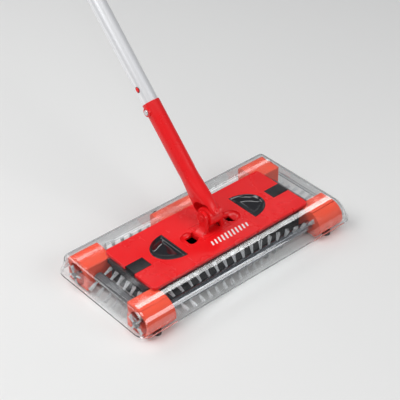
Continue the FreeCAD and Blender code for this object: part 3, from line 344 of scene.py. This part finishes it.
# %% Drawn and ground metal
def metal(name, colour, streak, roughness, lean=0.0, squeeze=(1.0, 1.0, 0.01), metallic=1.0):
    """Metal with streaks; lean turns the streaks about X, and a satin film lowers metallic."""
    made, tree, shader = new_material(name)
    place = step(tree, "ShaderNodeTexCoord").outputs["Object"]
    turned = step(tree, "ShaderNodeMapping", vector_type="TEXTURE")
    turned.inputs["Rotation"].default_value = (lean, 0.0, 0.0)
    feed(tree, turned.inputs["Vector"], place)
    squeezed = step(tree, "ShaderNodeMapping")
    squeezed.inputs["Scale"].default_value = squeeze
    feed(tree, squeezed.inputs["Vector"], turned.outputs["Vector"])
    streaks = noise(tree, squeezed.outputs["Vector"], 900.0, 3.0, 0.6)
    mask = ramp(tree, streaks, 0.35, 0.65)
    feed(tree, shader.inputs["Base Color"], mixed(tree, mask, rgba(colour), rgba(streak)))
    smooth, rough = roughness
    feed(tree, shader.inputs["Roughness"], ramp(tree, streaks, 0.3, 0.7, smooth, rough))
    shader.inputs["Metallic"].default_value = metallic
    bump = step(tree, "ShaderNodeBump")
    bump.inputs["Strength"].default_value = 0.04
    bump.inputs["Distance"].default_value = 0.0001
    feed(tree, bump.inputs["Height"], streaks)
    feed(tree, shader.inputs["Normal"], bump.outputs["Normal"])
    return made


HANDLE_LEAN = -math.pi / 4
tube_metal = metal("tube_metal", (0.95, 0.95, 0.96), (0.84, 0.85, 0.87), (0.30, 0.42), HANDLE_LEAN,
                   metallic=0.45)
steel = metal("steel", (0.55, 0.55, 0.57), (0.45, 0.45, 0.47), (0.22, 0.36), 0.0, (0.02, 1.0, 1.0))
nickel = metal("nickel", (0.66, 0.64, 0.58), (0.56, 0.54, 0.50), (0.25, 0.40), 0.0, (0.05, 1.0, 1.0))
bright_core = metal("bright_core", (0.36, 0.37, 0.39), (0.26, 0.27, 0.29), (0.16, 0.26), 0.0,
                    (0.02, 1.0, 1.0))
silver_paint = metal("silver_paint", (0.72, 0.72, 0.73), (0.66, 0.66, 0.68), (0.25, 0.35), 0.0,
                     (1.0, 1.0, 1.0))

# %% [markdown]
# ## The clear cover
#
# Polycarbonate bends and mirrors light like glass, so its shader is full transmission with the
# plastic's own refractive index. A path tracer can't carry lamp light through two curved walls
# cheaply, and the brushes below would turn black. Rays that only ask "is there a lamp?" are
# therefore let straight through by mixing in a transparent shader for shadow rays alone.

# %% Clear polycarbonate
def clear_plastic(name, tint, ior, roughness):
    """See-through plastic that lets lamps light what is under it."""
    made, tree, shader = new_material(name)
    group = step(tree, "ShaderNodeGroup", node_tree=wear)
    group.inputs["Patch Scale"].default_value = 30.0
    shader.inputs["Base Color"].default_value = rgba(tint)
    shader.inputs["Transmission Weight"].default_value = 1.0
    shader.inputs["IOR"].default_value = ior
    smooth, rough = roughness
    patchy = ramp(tree, group.outputs["Patches"], 0.0, 1.0, smooth, rough)
    scratched = worked_out(tree, "ShaderNodeMath", "MULTIPLY_ADD", group.outputs["Scratches"], 0.08, patchy)
    feed(tree, shader.inputs["Roughness"], scratched)
    through = step(tree, "ShaderNodeBsdfTransparent")
    through.inputs["Color"].default_value = rgba(tuple(0.95 * part for part in tint))
    chooser = step(tree, "ShaderNodeMixShader")
    feed(tree, chooser.inputs["Fac"], step(tree, "ShaderNodeLightPath").outputs["Is Shadow Ray"])
    tree.links.new(shader.outputs["BSDF"], chooser.inputs[1])
    tree.links.new(through.outputs["BSDF"], chooser.inputs[2])
    tree.links.new(chooser.outputs["Shader"], tree.nodes["Material Output"].inputs["Surface"])
    return made


clear_cover = clear_plastic("clear_polycarbonate", (0.86, 0.87, 0.875), 1.58, (0.015, 0.05))

# %% [markdown]
# ## Finishes on the carried-over parts
#
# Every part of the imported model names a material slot. A table from slot to finish dresses
# them all in one loop, and a second small table changes the few parts whose look differs from
# their slot: the fork and its bracket have a softer gloss than the deck.

# %% Dress every node
FINISHES = {
    "clear_polycarbonate": clear_cover, "deck_red": deck_red, "housing_red": housing_red,
    "smoked_lens": smoked_lens, "black_plastic": matt_black, "black_gloss": gloss_black,
    "glide_pad": pad_black, "steel": steel, "bright_core": bright_core, "grey_core": grey_core,
    "bristle": white_nylon, "white_nylon": white_nylon, "cell_sleeve": cell_sleeve,
    "nickel": nickel, "tube_metal": tube_metal, "silver_plastic": silver_paint,
}
SPECIAL = {"handle_bracket": fork_red, "handle_socket": fork_red, "swivel_hub": fork_red}


def dress(thing, finish):
    """Put one material in every slot of a node."""
    for place in thing.material_slots:
        place.material = finish
    if not thing.material_slots:
        thing.data.materials.append(finish)


for entry in frame["record"]["subparts"]:
    dress(nodes[entry["node"]], SPECIAL.get(entry["node"], FINISHES[entry["material_slot"]]))

# %% Pale floor finish
floor_finish, _, floor_shader = new_material("pale_floor")
floor_shader.inputs["Base Color"].default_value = (0.80, 0.80, 0.79, 1)
floor_shader.inputs["Roughness"].default_value = 0.6
floor.data.materials.append(floor_finish)

# %% [markdown]
# ## Rounded housings
#
# A moulded housing has no knife edges: its edges are rounded, and a thin line of light runs
# along each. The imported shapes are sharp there. Each housing is copied and its loose triangles
# are merged into clean faces. The long outward edges that turn sharply are then marked, and a
# Bevel modifier rounds those alone, so small rims inside the housing stay as they are.

# %% Copies with rounded edges
MERGE_DISTANCE = 0.000005
FLAT_ANGLE, SHARP_ANGLE = math.radians(1.0), math.radians(35)
ROUNDING_STEPS = 4


def weigh_edges(shape, turn, shortest):
    """Mark the outward edges that turn sharply and are long enough to be seen."""
    weight = shape.edges.layers.float.new("bevel_weight_edge")
    marked = 0
    for edge in shape.edges:
        outward = len(edge.link_faces) == 2 and edge.calc_face_angle_signed() > turn
        if outward and edge.calc_length() > shortest:
            edge[weight] = 1.0
            marked += 1
    return marked


def rounded_copy(node, body, finish, width, shortest=0.004):
    """A copy of a node with its long sharp edges rounded; it stands for the node."""
    shape = bmesh.new()
    shape.from_mesh(nodes[node].data)
    bmesh.ops.remove_doubles(shape, verts=shape.verts, dist=MERGE_DISTANCE)
    bmesh.ops.dissolve_limit(shape, angle_limit=FLAT_ANGLE, verts=shape.verts, edges=shape.edges)
    marked = weigh_edges(shape, SHARP_ANGLE, shortest)
    mesh = bpy.data.meshes.new(node + "_rounded")
    shape.to_mesh(mesh)
    shape.free()
    mesh.materials.clear()
    mesh.materials.append(finish)
    mesh.shade_smooth()
    mesh.set_sharp_from_angle(angle=SHARP_ANGLE)
    piece = object_from(node + "_rounded", mesh)
    edge = piece.modifiers.new("rounding", "BEVEL")
    edge.width = width
    edge.segments = ROUNDING_STEPS
    edge.limit_method = "WEIGHT"
    edge.use_clamp_overlap = False
    edge.harden_normals = True
    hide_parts(node)
    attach(piece, body)
    print(node, "edges rounded:", marked)
    return piece


for place, width in (("front_left", 0.0012), ("front_right", 0.0012), ("rear_left", 0.0024),
                     ("rear_right", 0.0024), ("rear_gear", 0.0024)):
    rounded_copy(f"{place}_housing", "base", housing_red, width)
rounded_copy("handle_bracket", "base", fork_red, 0.0007, 0.002)

# %% [markdown]
# ## Bristles
#
# Each brush carries two helical rows of nylon tufts. A tuft is a few dozen stiff bristles that
# leave one hole and flare out. Hundreds of tufts by hand would be hopeless, so Geometry Nodes
# copy one point per tuft into many, spread the copies over a disc, and stand a thin four-sided
# bristle on each. Every bristle leans out a little more the further it is from the middle.

# %% Nylon for the bristles
def bristle_nylon(name):
    """Pale half-clear nylon: streaky tone along the bristle and a soft gloss."""
    made, tree, shader = new_material(name)
    place = step(tree, "ShaderNodeTexCoord").outputs["Object"]
    tone = ramp(tree, noise(tree, place, 900.0, 2.0), 0.3, 0.7)
    feed(tree, shader.inputs["Base Color"], mixed(tree, tone, (0.42, 0.43, 0.44, 1), (0.86, 0.87, 0.88, 1)))
    feed(tree, shader.inputs["Roughness"], ramp(tree, noise(tree, place, 300.0), 0.3, 0.7, 0.22, 0.42))
    shader.inputs["IOR"].default_value = 1.53
    return made


nylon = bristle_nylon("bristle_nylon")


# %% The bristle tree
def tree_with(name, inputs):
    """A Geometry Nodes tree with geometry in and out and the named inputs."""
    tree = bpy.data.node_groups.new(name, "GeometryNodeTree")
    tree.interface.new_socket("Geometry", in_out="INPUT", socket_type="NodeSocketGeometry")
    tree.interface.new_socket("Geometry", in_out="OUTPUT", socket_type="NodeSocketGeometry")
    for label, kind, value in inputs:
        item = tree.interface.new_socket(label, in_out="INPUT", socket_type=kind)
        if value is not None:
            item.default_value = value
    return tree, step(tree, "NodeGroupInput"), step(tree, "NodeGroupOutput")


def attribute(tree, name, kind):
    made = step(tree, "GeometryNodeInputNamedAttribute", data_type=kind)
    made.inputs["Name"].default_value = name
    return made.outputs["Attribute"]


def random_float(tree, low, high, seed):
    made = step(tree, "FunctionNodeRandomValue", data_type="FLOAT")
    made.inputs[2].default_value, made.inputs[3].default_value = low, high
    feed(tree, made.inputs["Seed"], seed)
    return made.outputs[1]


def bristle_tree():
    """Every point of the mesh becomes a flared tuft along its own "way"."""
    tree, inside, outside = tree_with("flared_tufts", [
        ("Bristles", "NodeSocketInt", 26), ("Bristle Radius", "NodeSocketFloat", 0.00022),
        ("Seed", "NodeSocketInt", 1), ("Material", "NodeSocketMaterial", None)])
    copies = step(tree, "GeometryNodeDuplicateElements", domain="POINT")
    feed(tree, copies.inputs["Geometry"], inside.outputs["Geometry"])
    feed(tree, copies.inputs["Amount"], inside.outputs["Bristles"])
    way, size = attribute(tree, "way", "FLOAT_VECTOR"), attribute(tree, "size", "FLOAT_VECTOR")
    parts = step(tree, "ShaderNodeSeparateXYZ")
    feed(tree, parts.inputs[0], size)
    root, tip, reach = parts.outputs

    def vector(operation, *sources):
        return worked_out(tree, "ShaderNodeVectorMath", operation, *sources)

    def scaled(source, factor):
        made = step(tree, "ShaderNodeVectorMath", operation="SCALE")
        feed(tree, made.inputs[0], source)
        feed(tree, made.inputs["Scale"], factor)
        return made.outputs[0]

    def value(operation, *sources):
        return worked_out(tree, "ShaderNodeMath", operation, *sources)

    seed = inside.outputs["Seed"]
    turn = random_float(tree, 0.0, 2 * math.pi, seed)
    share = value("SQRT", random_float(tree, 0.0, 1.0, value("ADD", seed, 11)))
    side = vector("NORMALIZE", vector("CROSS_PRODUCT", way, (0.31, 0.47, 0.83)))
    other = vector("CROSS_PRODUCT", way, side)
    out = vector("ADD", scaled(side, value("COSINE", turn)), scaled(other, value("SINE", turn)))
    out = scaled(out, share)
    foot = step(tree, "GeometryNodeSetPosition")
    feed(tree, foot.inputs["Geometry"], copies.outputs["Geometry"])
    feed(tree, foot.inputs["Offset"], scaled(out, root))
    long = value("MULTIPLY", reach, random_float(tree, 0.90, 1.0, value("ADD", seed, 23)))
    flare = value("SUBTRACT", tip, root)
    lean = vector("ADD", scaled(way, long), scaled(out, flare))
    aim = step(tree, "FunctionNodeAlignRotationToVector", axis="Z")
    feed(tree, aim.inputs["Vector"], lean)
    thin = step(tree, "ShaderNodeCombineXYZ")
    feed(tree, thin.inputs[0], inside.outputs["Bristle Radius"])
    feed(tree, thin.inputs[1], inside.outputs["Bristle Radius"])
    length = step(tree, "ShaderNodeVectorMath", operation="LENGTH")
    feed(tree, length.inputs[0], lean)
    feed(tree, thin.inputs[2], length.outputs["Value"])
    stick = step(tree, "GeometryNodeMeshCylinder", fill_type="NGON")
    stick.inputs["Vertices"].default_value = 4
    stick.inputs["Radius"].default_value = 1.0
    stick.inputs["Depth"].default_value = 1.0
    lifted = step(tree, "GeometryNodeTransform")
    feed(tree, lifted.inputs["Geometry"], stick.outputs["Mesh"])
    lifted.inputs["Translation"].default_value = (0.0, 0.0, 0.5)
    stand = step(tree, "GeometryNodeInstanceOnPoints")
    feed(tree, stand.inputs["Points"], foot.outputs["Geometry"])
    feed(tree, stand.inputs["Instance"], lifted.outputs["Geometry"])
    feed(tree, stand.inputs["Rotation"], aim.outputs["Rotation"])
    feed(tree, stand.inputs["Scale"], thin.outputs[0])
    real = step(tree, "GeometryNodeRealizeInstances")
    feed(tree, real.inputs["Geometry"], stand.outputs["Instances"])
    coated = step(tree, "GeometryNodeSetMaterial")
    feed(tree, coated.inputs["Geometry"], real.outputs["Geometry"])
    feed(tree, coated.inputs["Material"], inside.outputs["Material"])
    feed(tree, outside.inputs["Geometry"], coated.outputs["Geometry"])
    return tree


tufts_tree = bristle_tree()


# %% From tree to plain mesh
def plain_mesh(name, source, tree, values):
    """Run a tree on a mesh and keep the result as a plain mesh object."""
    holder = object_from(name + "_points", source)
    modifier = holder.modifiers.new("grown", "NODES")
    modifier.node_group = tree
    keys = {item.name: item.identifier for item in tree.interface.items_tree if item.in_out == "INPUT"}
    for label, setting in values.items():
        modifier[keys[label]] = setting
    bpy.context.view_layer.update()
    grown = holder.evaluated_get(bpy.context.evaluated_depsgraph_get())
    mesh = bpy.data.meshes.new_from_object(grown)
    holder.modifiers.clear()
    bpy.data.objects.remove(holder)
    for extra in [a.name for a in mesh.attributes if a.name in ("way", "size")]:
        mesh.attributes.remove(mesh.attributes[extra])
    mesh.name = name
    return object_from(name, mesh)


# %% [markdown]
# The tufts' places follow the brush's own rule: holes every twelve millimetres, turning a
# little from one to the next, with a second row half a turn away. The cores' boxes give the
# axis and the ends, so the rows start and stop where the core does.

# %% Rows of tufts on a core
PITCH = 0.012
TWIST = math.radians(-0.6) / MM
ROOT, TIP = 0.0011, 0.0026
TUFT_TOP = 0.0172
TUFT_SINK = 0.0004
END_HUB_X, END_HUB_R, END_TUFT = 0.1494, 0.004, 0.0083
END_SINK = 0.0003


def helix(core, along, margin, start):
    """(foot, way) of every tuft of a brush; start is the first row's turn in degrees."""
    low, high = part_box(core)
    axis = 0 if abs(along.x) > 0.5 else 1
    middle = (low + high) / 2
    first, last = low[axis] + margin, high[axis] - margin
    count = int((last - first) / PITCH + 0.5)
    side = along.cross(Vector((0, 0, 1)))
    radius = (high.z - low.z) / 2
    found = []
    for i in range(count + 1):
        place = first + (last - first) * i / count
        for half in (0.0, math.pi):
            turn = math.radians(start) + half + TWIST * (place - first)
            way = side * math.cos(turn) + Vector((0, 0, 1)) * math.sin(turn)
            centre = middle.copy()
            centre[axis] = place
            found.append((centre + way * (radius - TUFT_SINK), way))
    return found, TUFT_TOP - radius


def end_tufts(core, start):
    """Four short tufts on each outer end hub of a long shaft."""
    low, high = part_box(core)
    middle = (low + high) / 2
    found = []
    for end in (-1, 1):
        for i in range(4):
            turn = math.radians(start + 90 * i)
            way = Vector((0, math.cos(turn), math.sin(turn)))
            spot = Vector((end * END_HUB_X, middle.y, middle.z))
            found.append((spot + way * (END_HUB_R - END_SINK), way))
    return found


# %% Points that carry a direction and a size
BRISTLES, BRISTLE_RADIUS = 26, 0.00021


def point_mesh(name, tufts):
    """A vertex for each tuft, with its direction and its root, tip and reach."""
    mesh = bpy.data.meshes.new(name)
    mesh.from_pydata([foot for foot, _, _ in tufts], [], [])
    ways = mesh.attributes.new("way", "FLOAT_VECTOR", "POINT")
    sizes = mesh.attributes.new("size", "FLOAT_VECTOR", "POINT")
    for i, (_, way, size) in enumerate(tufts):
        ways.data[i].vector = way
        sizes.data[i].vector = size
    return mesh


def grow(name, tufts, body, node, seed):
    """Bristles for one brush: they replace its plain cones and turn with it."""
    piece = plain_mesh(name, point_mesh(name + "_feet", tufts), tufts_tree,
                       {"Bristles": BRISTLES, "Bristle Radius": BRISTLE_RADIUS, "Seed": seed,
                        "Material": nylon})
    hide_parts(node)
    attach(piece, body)
    print(name, len(tufts), "tufts,", len(piece.data.polygons), "faces")
    return piece


def sized(rows, root=ROOT, tip=TIP):
    """Give the tufts of helix() their root and tip radius and their reach."""
    found, reach = rows
    return [(foot, way, Vector((root, tip, reach))) for foot, way in found]


X, Y = Vector((1, 0, 0)), Vector((0, 1, 0))
end_size = Vector((0.0008, 0.0016, END_TUFT))
front = sized(helix("front_core", X, 0.003, -5))
front += [(foot, way, end_size) for foot, way in end_tufts("front_core", 215)]
rear = sized(helix("rear_left_core", X, 0.003, 115)) + sized(helix("rear_right_core", X, 0.003, 70))
rear += [(foot, way, end_size) for foot, way in end_tufts("rear_left_core", 160)]
grow("front_bristles", front, "front_brush", "front_tufts", 3)
grow("rear_bristles", rear, "rear_brush", "rear_tufts", 5)
grow("left_bristles", sized(helix("left_core", Y, 0.004, 60)), "left_brush", "left_tufts", 7)
grow("right_bristles", sized(helix("right_core", Y, 0.004, 20)), "right_brush", "right_tufts", 9)

# %% [markdown]
# ## End hubs
#
# The short tufts at the corners sit in small round hubs on the ends of the long shafts. A hub
# is turned from one profile: a few points swept round the shaft make a rounded ring, which is
# smoother than a cut cylinder.

# %% Turned pieces
def turned_ring(name, profile, centre, along, finish, segments=32):
    """Sweep a closed profile of (along, radius) points round an axis through centre."""
    shape = bmesh.new()
    turn = along.to_track_quat("Z", "Y").to_matrix()
    rings = []
    for i in range(segments):
        angle = 2 * math.pi * i / segments
        spoke = Vector((math.cos(angle), math.sin(angle), 0))
        rings.append([shape.verts.new(centre + turn @ (spoke * r + Vector((0, 0, s)))) for s, r in profile])
    for i in range(segments):
        near, far = rings[i], rings[(i + 1) % segments]
        for j in range(len(profile)):
            k = (j + 1) % len(profile)
            shape.faces.new((near[j], far[j], far[k], near[k]))
    bmesh.ops.recalc_face_normals(shape, faces=shape.faces)
    mesh = bpy.data.meshes.new(name)
    shape.to_mesh(mesh)
    shape.free()
    mesh.shade_smooth()
    mesh.materials.append(finish)
    return object_from(name, mesh)


HUB_PROFILE = [(-0.0013, 0.0021), (-0.0013, 0.0033), (-0.0009, 0.0040), (0.0009, 0.0040),
               (0.0013, 0.0033), (0.0013, 0.0021)]
for word, body in (("front", "front_brush"), ("rear", "rear_brush")):
    low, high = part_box(f"{word}_shaft")
    middle = (low + high) / 2
    for end, side in (("left", -1), ("right", 1)):
        spot = Vector((side * END_HUB_X, middle.y, middle.z))
        hub = turned_ring(f"{word}_{end}_end_hub", HUB_PROFILE, spot, X, grey_core)
        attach(hub, body)
print("end hubs: 4")

# %% [markdown]
# ## Dished windows
#
# Each window is one smoked lens. Its lip is rounded and stands a little above the deck, then
# the lens drops and flattens into a shallow dish. The outline is a half ellipse closed by a
# chord; drawn again and again, a little smaller and at another height, it makes the lens.

# %% Rings of a half-moon outline
CHORD, REACH, HALF_WIDE = 0.0507, 0.0816, 0.023
LENS_SKIN, LENS_SHARP = 0.0012, math.radians(50)


def half_moon(inset, height, side, arc_steps=40, chord_steps=14):
    """Points of the half ellipse and its chord, drawn in by an inset, from front to rear."""
    chord, half = CHORD + inset, HALF_WIDE - inset
    bow = REACH - CHORD
    points = []
    start = math.asin(inset / bow)
    for i in range(arc_steps + 1):
        turn = -math.pi / 2 + start + (math.pi - 2 * start) * i / arc_steps
        points.append((CHORD + (bow - inset) * math.cos(turn), half * math.sin(turn)))
    first, last = points[-1], points[0]
    for i in range(1, chord_steps):
        points.append((chord, first[1] + (last[1] - first[1]) * i / chord_steps))
    return [Vector((side * x, y, height)) for x, y in points]


def dished_lens(name, side, rings, skin):
    """A lens from (inset, height) rings; its underside follows at one skin's distance."""
    shape = bmesh.new()
    loops = [[shape.verts.new(p) for p in half_moon(inset, height, side)] for inset, height in rings]
    under = [[shape.verts.new(p) for p in half_moon(inset, height - skin, side)]
             for inset, height in (rings[-1], rings[0])]
    loops += under
    for first, second in zip(loops, loops[1:] + loops[:1]):
        if first is loops[len(rings) - 1]:
            continue
        for j in range(len(first)):
            k = (j + 1) % len(first)
            shape.faces.new((first[j], first[k], second[k], second[j]))
    shape.faces.new(loops[len(rings) - 1])
    shape.faces.new(list(reversed(under[0])))
    bmesh.ops.recalc_face_normals(shape, faces=shape.faces)
    mesh = bpy.data.meshes.new(name)
    shape.to_mesh(mesh)
    shape.free()
    mesh.materials.append(smoked_lens)
    mesh.shade_smooth()
    mesh.set_sharp_from_angle(angle=LENS_SHARP)
    return object_from(name, mesh)


lens_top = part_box("left_window")[1].z
LENS_RINGS = [(0.0002, -0.0012), (0.0002, -0.0003), (0.0005, 0.0), (0.0011, 0.0), (0.0015, -0.0003),
              (0.0019, -0.0009), (0.0025, -0.0016), (0.0034, -0.0022), (0.0046, -0.0026), (0.0062, -0.0029),
              (0.0085, -0.0031), (0.0110, -0.0032), (0.0135, -0.00325)]
for word, side in (("left", -1), ("right", 1)):
    rings = [(inset, lens_top + drop) for inset, drop in LENS_RINGS]
    lens_piece = dished_lens(f"{word}_lens", side, rings, LENS_SKIN)
    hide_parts(f"{word}_window")
    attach(lens_piece, "base")
    print(lens_piece.name, "faces:", len(lens_piece.data.polygons))

# %% [markdown]
# ## The tube's small catch
#
# Above the socket a small oval red catch shows in the tube's side, ringed by painted shade: a gloss
# black ring stands for the shade in the rim of the catch's hole. Both are low caps that follow the
# tube's curve, built upright at the pivot and turned to the handle's rest lean.

# %% Oval caps on the tube
PIVOT = Vector((0, -0.002, 0.0587))
LEAN = Matrix.Rotation(HANDLE_LEAN, 3, "X")


def along_tube(point):
    """From the handle's own upright axes to the place where it rests."""
    return PIVOT + LEAN @ point


def oval_cap(name, way, up, half_wide, half_long, low, high, finish, rings=5, steps=28):
    """A low dome over an oval on the tube; low and high are distances from its axis."""
    shape = bmesh.new()
    loops = []
    for ring in range(rings + 1):
        share = math.cos(0.5 * math.pi * ring / rings)
        rise = low if ring == 0 else low + (high - low) * math.sin(0.5 * math.pi * ring / rings)
        if ring == rings:
            share = 0.05
        loop = []
        for i in range(steps):
            turn = 2 * math.pi * i / steps
            around = way + share * half_wide * math.cos(turn) / low
            along = up + share * half_long * math.sin(turn)
            spoke = Vector((math.cos(around), math.sin(around), 0))
            loop.append(shape.verts.new(along_tube(spoke * rise + Vector((0, 0, along)))))
        loops.append(loop)
    for first, second in zip(loops, loops[1:]):
        for i in range(steps):
            k = (i + 1) % steps
            shape.faces.new((first[i], first[k], second[k], second[i]))
    shape.faces.new(loops[-1])
    shape.faces.new(list(reversed(loops[0])))
    bmesh.ops.recalc_face_normals(shape, faces=shape.faces)
    mesh = bpy.data.meshes.new(name)
    shape.to_mesh(mesh)
    shape.free()
    mesh.materials.append(finish)
    mesh.shade_smooth()
    return object_from(name, mesh)


TUBE_RADIUS = 0.0095
CATCH_WAY, CATCH_UP = math.radians(192), 0.160
# Painted shade: the gloss black ring round the catch stands for the shaded rim of its hole in the tube.
hole_shade_ring = oval_cap("painted_hole_shade", CATCH_WAY, CATCH_UP, 0.0030, 0.0040, TUBE_RADIUS - 0.0001,
                    TUBE_RADIUS + 0.0003, gloss_black)
catch = oval_cap("tube_catch", CATCH_WAY, CATCH_UP, 0.0023, 0.0032, TUBE_RADIUS + 0.0001,
                 TUBE_RADIUS + 0.0011, deck_red)
for cap, slot in ((hole_shade_ring, "black_gloss"), (catch, "deck_red")):
    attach(cap, "handle")
print("caps on the tube: 2")

# %% [markdown]
# The pins of the joint don't show: a low rounded red cap closes each hole, in front of the fork
# and on both ears. A cap is turned from a profile of (height, radius) points, like the hubs.

# %% Caps over the pins
def pin_cap(name, foot, way, radius, rise, body):
    """A shallow dome that stands on a face at foot and looks along way."""
    profile = [(0.0, 0.0001), (0.0, radius)]
    profile += [(rise * math.sin(math.pi * i / 16), radius * (0.72 + 0.28 * math.cos(math.pi * i / 16)))
                for i in range(1, 8)]
    profile += [(rise * 1.02, radius * 0.4), (rise * 1.04, 0.0001)]
    cap = turned_ring(name, profile, foot, way, fork_red, 28)
    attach(cap, body)
    return cap


FORK_FACE = 0.0147
fork_spot = along_tube(Vector((0, -FORK_FACE, 0)))
pin_cap("fork_front_cap", fork_spot, LEAN @ Vector((0, -1, 0)), 0.0042, 0.0011, "handle")
EAR_CAP_SINK = 0.0002
ear_low, ear_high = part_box("tilt_pin")
for word, side, face in (("left", -1, ear_low.x), ("right", 1, ear_high.x)):
    spot = Vector((face - side * EAR_CAP_SINK, PIVOT.y, PIVOT.z))
    pin_cap(f"{word}_ear_cap", spot, X * side, 0.0036, 0.0008, "base")
print("pin caps: 3")

# %% [markdown]
# ## Grip rings
#
# A hand grip of soft plastic has low rounded rings, so that it doesn't slip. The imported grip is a
# plain spindle; each ring is turned about the handle's axis on the spindle's own radius there.

# %% Rings round the grip
GRIP_START, GRIP_LONG, GRIP_WIDE = 0.866, 0.132, 0.013
GRIP_NECK, GRIP_COLLAR = GRIP_WIDE - 0.002, 0.008
RING_COUNT, RING_GAP, FIRST_RING = 7, 0.009, 0.030


def grip_radius(up):
    """The spindle's radius at a height along the handle."""
    low = GRIP_START + GRIP_COLLAR
    wide, high = low + 0.45 * GRIP_LONG, low + 0.8 * GRIP_LONG
    share = (up - low) / (wide - low) if up < wide else (high - up) / (high - wide)
    return GRIP_NECK + (GRIP_WIDE - GRIP_NECK) * max(0.0, min(1.0, share))


RING_PROFILE = [(-0.0018, -0.0006), (-0.0017, 0.0001), (-0.0010, 0.0005), (0.0, 0.0007),
                (0.0010, 0.0005), (0.0017, 0.0001), (0.0018, -0.0006)]
handle_way = LEAN @ Vector((0, 0, 1))
for i in range(RING_COUNT):
    up = GRIP_START + FIRST_RING + RING_GAP * i
    profile = [(along, grip_radius(up + along) + rise) for along, rise in RING_PROFILE]
    spot = along_tube(Vector((0, 0, up)))
    ring = turned_ring(f"grip_ring_{i + 1}", profile, spot, handle_way, matt_black, 40)
    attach(ring, "handle")
print("grip rings:", RING_COUNT)

# %% [markdown]
# ## A plain ornament on the deck
#
# The deck's front has a small white print. A neutral row of slanted bars stands in its place.
# It is a real, very thin layer of ink that lies on the plastic, and each bar has round ends.

# %% Slanted bars in white ink
def ink_bars(name, start, count, spacing, length, width, height):
    """A row of slanted round-ended bars, longer towards the middle."""
    shape = bmesh.new()
    slant = Vector((0.35, 1.0, 0.0)).normalized()
    across = Vector((slant.y, -slant.x, 0.0))
    for i in range(count):
        half = length * (0.55 + 0.45 * math.sin(math.pi * (i + 0.5) / count)) / 2
        centre = start + Vector((spacing * i, 0, 0))
        rim = []
        for end in (1, -1):
            for j in range(9):
                angle = math.pi * j / 8
                rim.append(centre + slant * end * (half + math.sin(angle) * width / 2)
                           + across * end * math.cos(angle) * width / 2)
        low = [shape.verts.new(p) for p in rim]
        top = [shape.verts.new(p + Vector((0, 0, height))) for p in rim]
        shape.faces.new(top)
        for j in range(len(rim)):
            k = (j + 1) % len(rim)
            shape.faces.new((low[j], low[k], top[k], top[j]))
        shape.faces.new(list(reversed(low)))
    bmesh.ops.recalc_face_normals(shape, faces=shape.faces)
    mesh = bpy.data.meshes.new(name)
    shape.to_mesh(mesh)
    shape.free()
    return object_from(name, mesh)


deck_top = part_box("deck_cover")[1].z
white_ink = moulded("white_ink", (0.85, 0.85, 0.84), (0.76, 0.74, 0.73), (0.35, 0.5), 0.05)
BAR_COUNT, BAR_SPACING, BAR_LENGTH, BAR_WIDTH, INK_HEIGHT = 11, 0.0052, 0.0085, 0.0021, 0.00005
first_bar = Vector((-0.018, -0.0265, deck_top + 0.00001))
bars = ink_bars("deck_ornament", first_bar, BAR_COUNT, BAR_SPACING, BAR_LENGTH, BAR_WIDTH, INK_HEIGHT)
bars.data.materials.append(white_ink)
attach(bars, "base")
print("ornament bars:", BAR_COUNT)
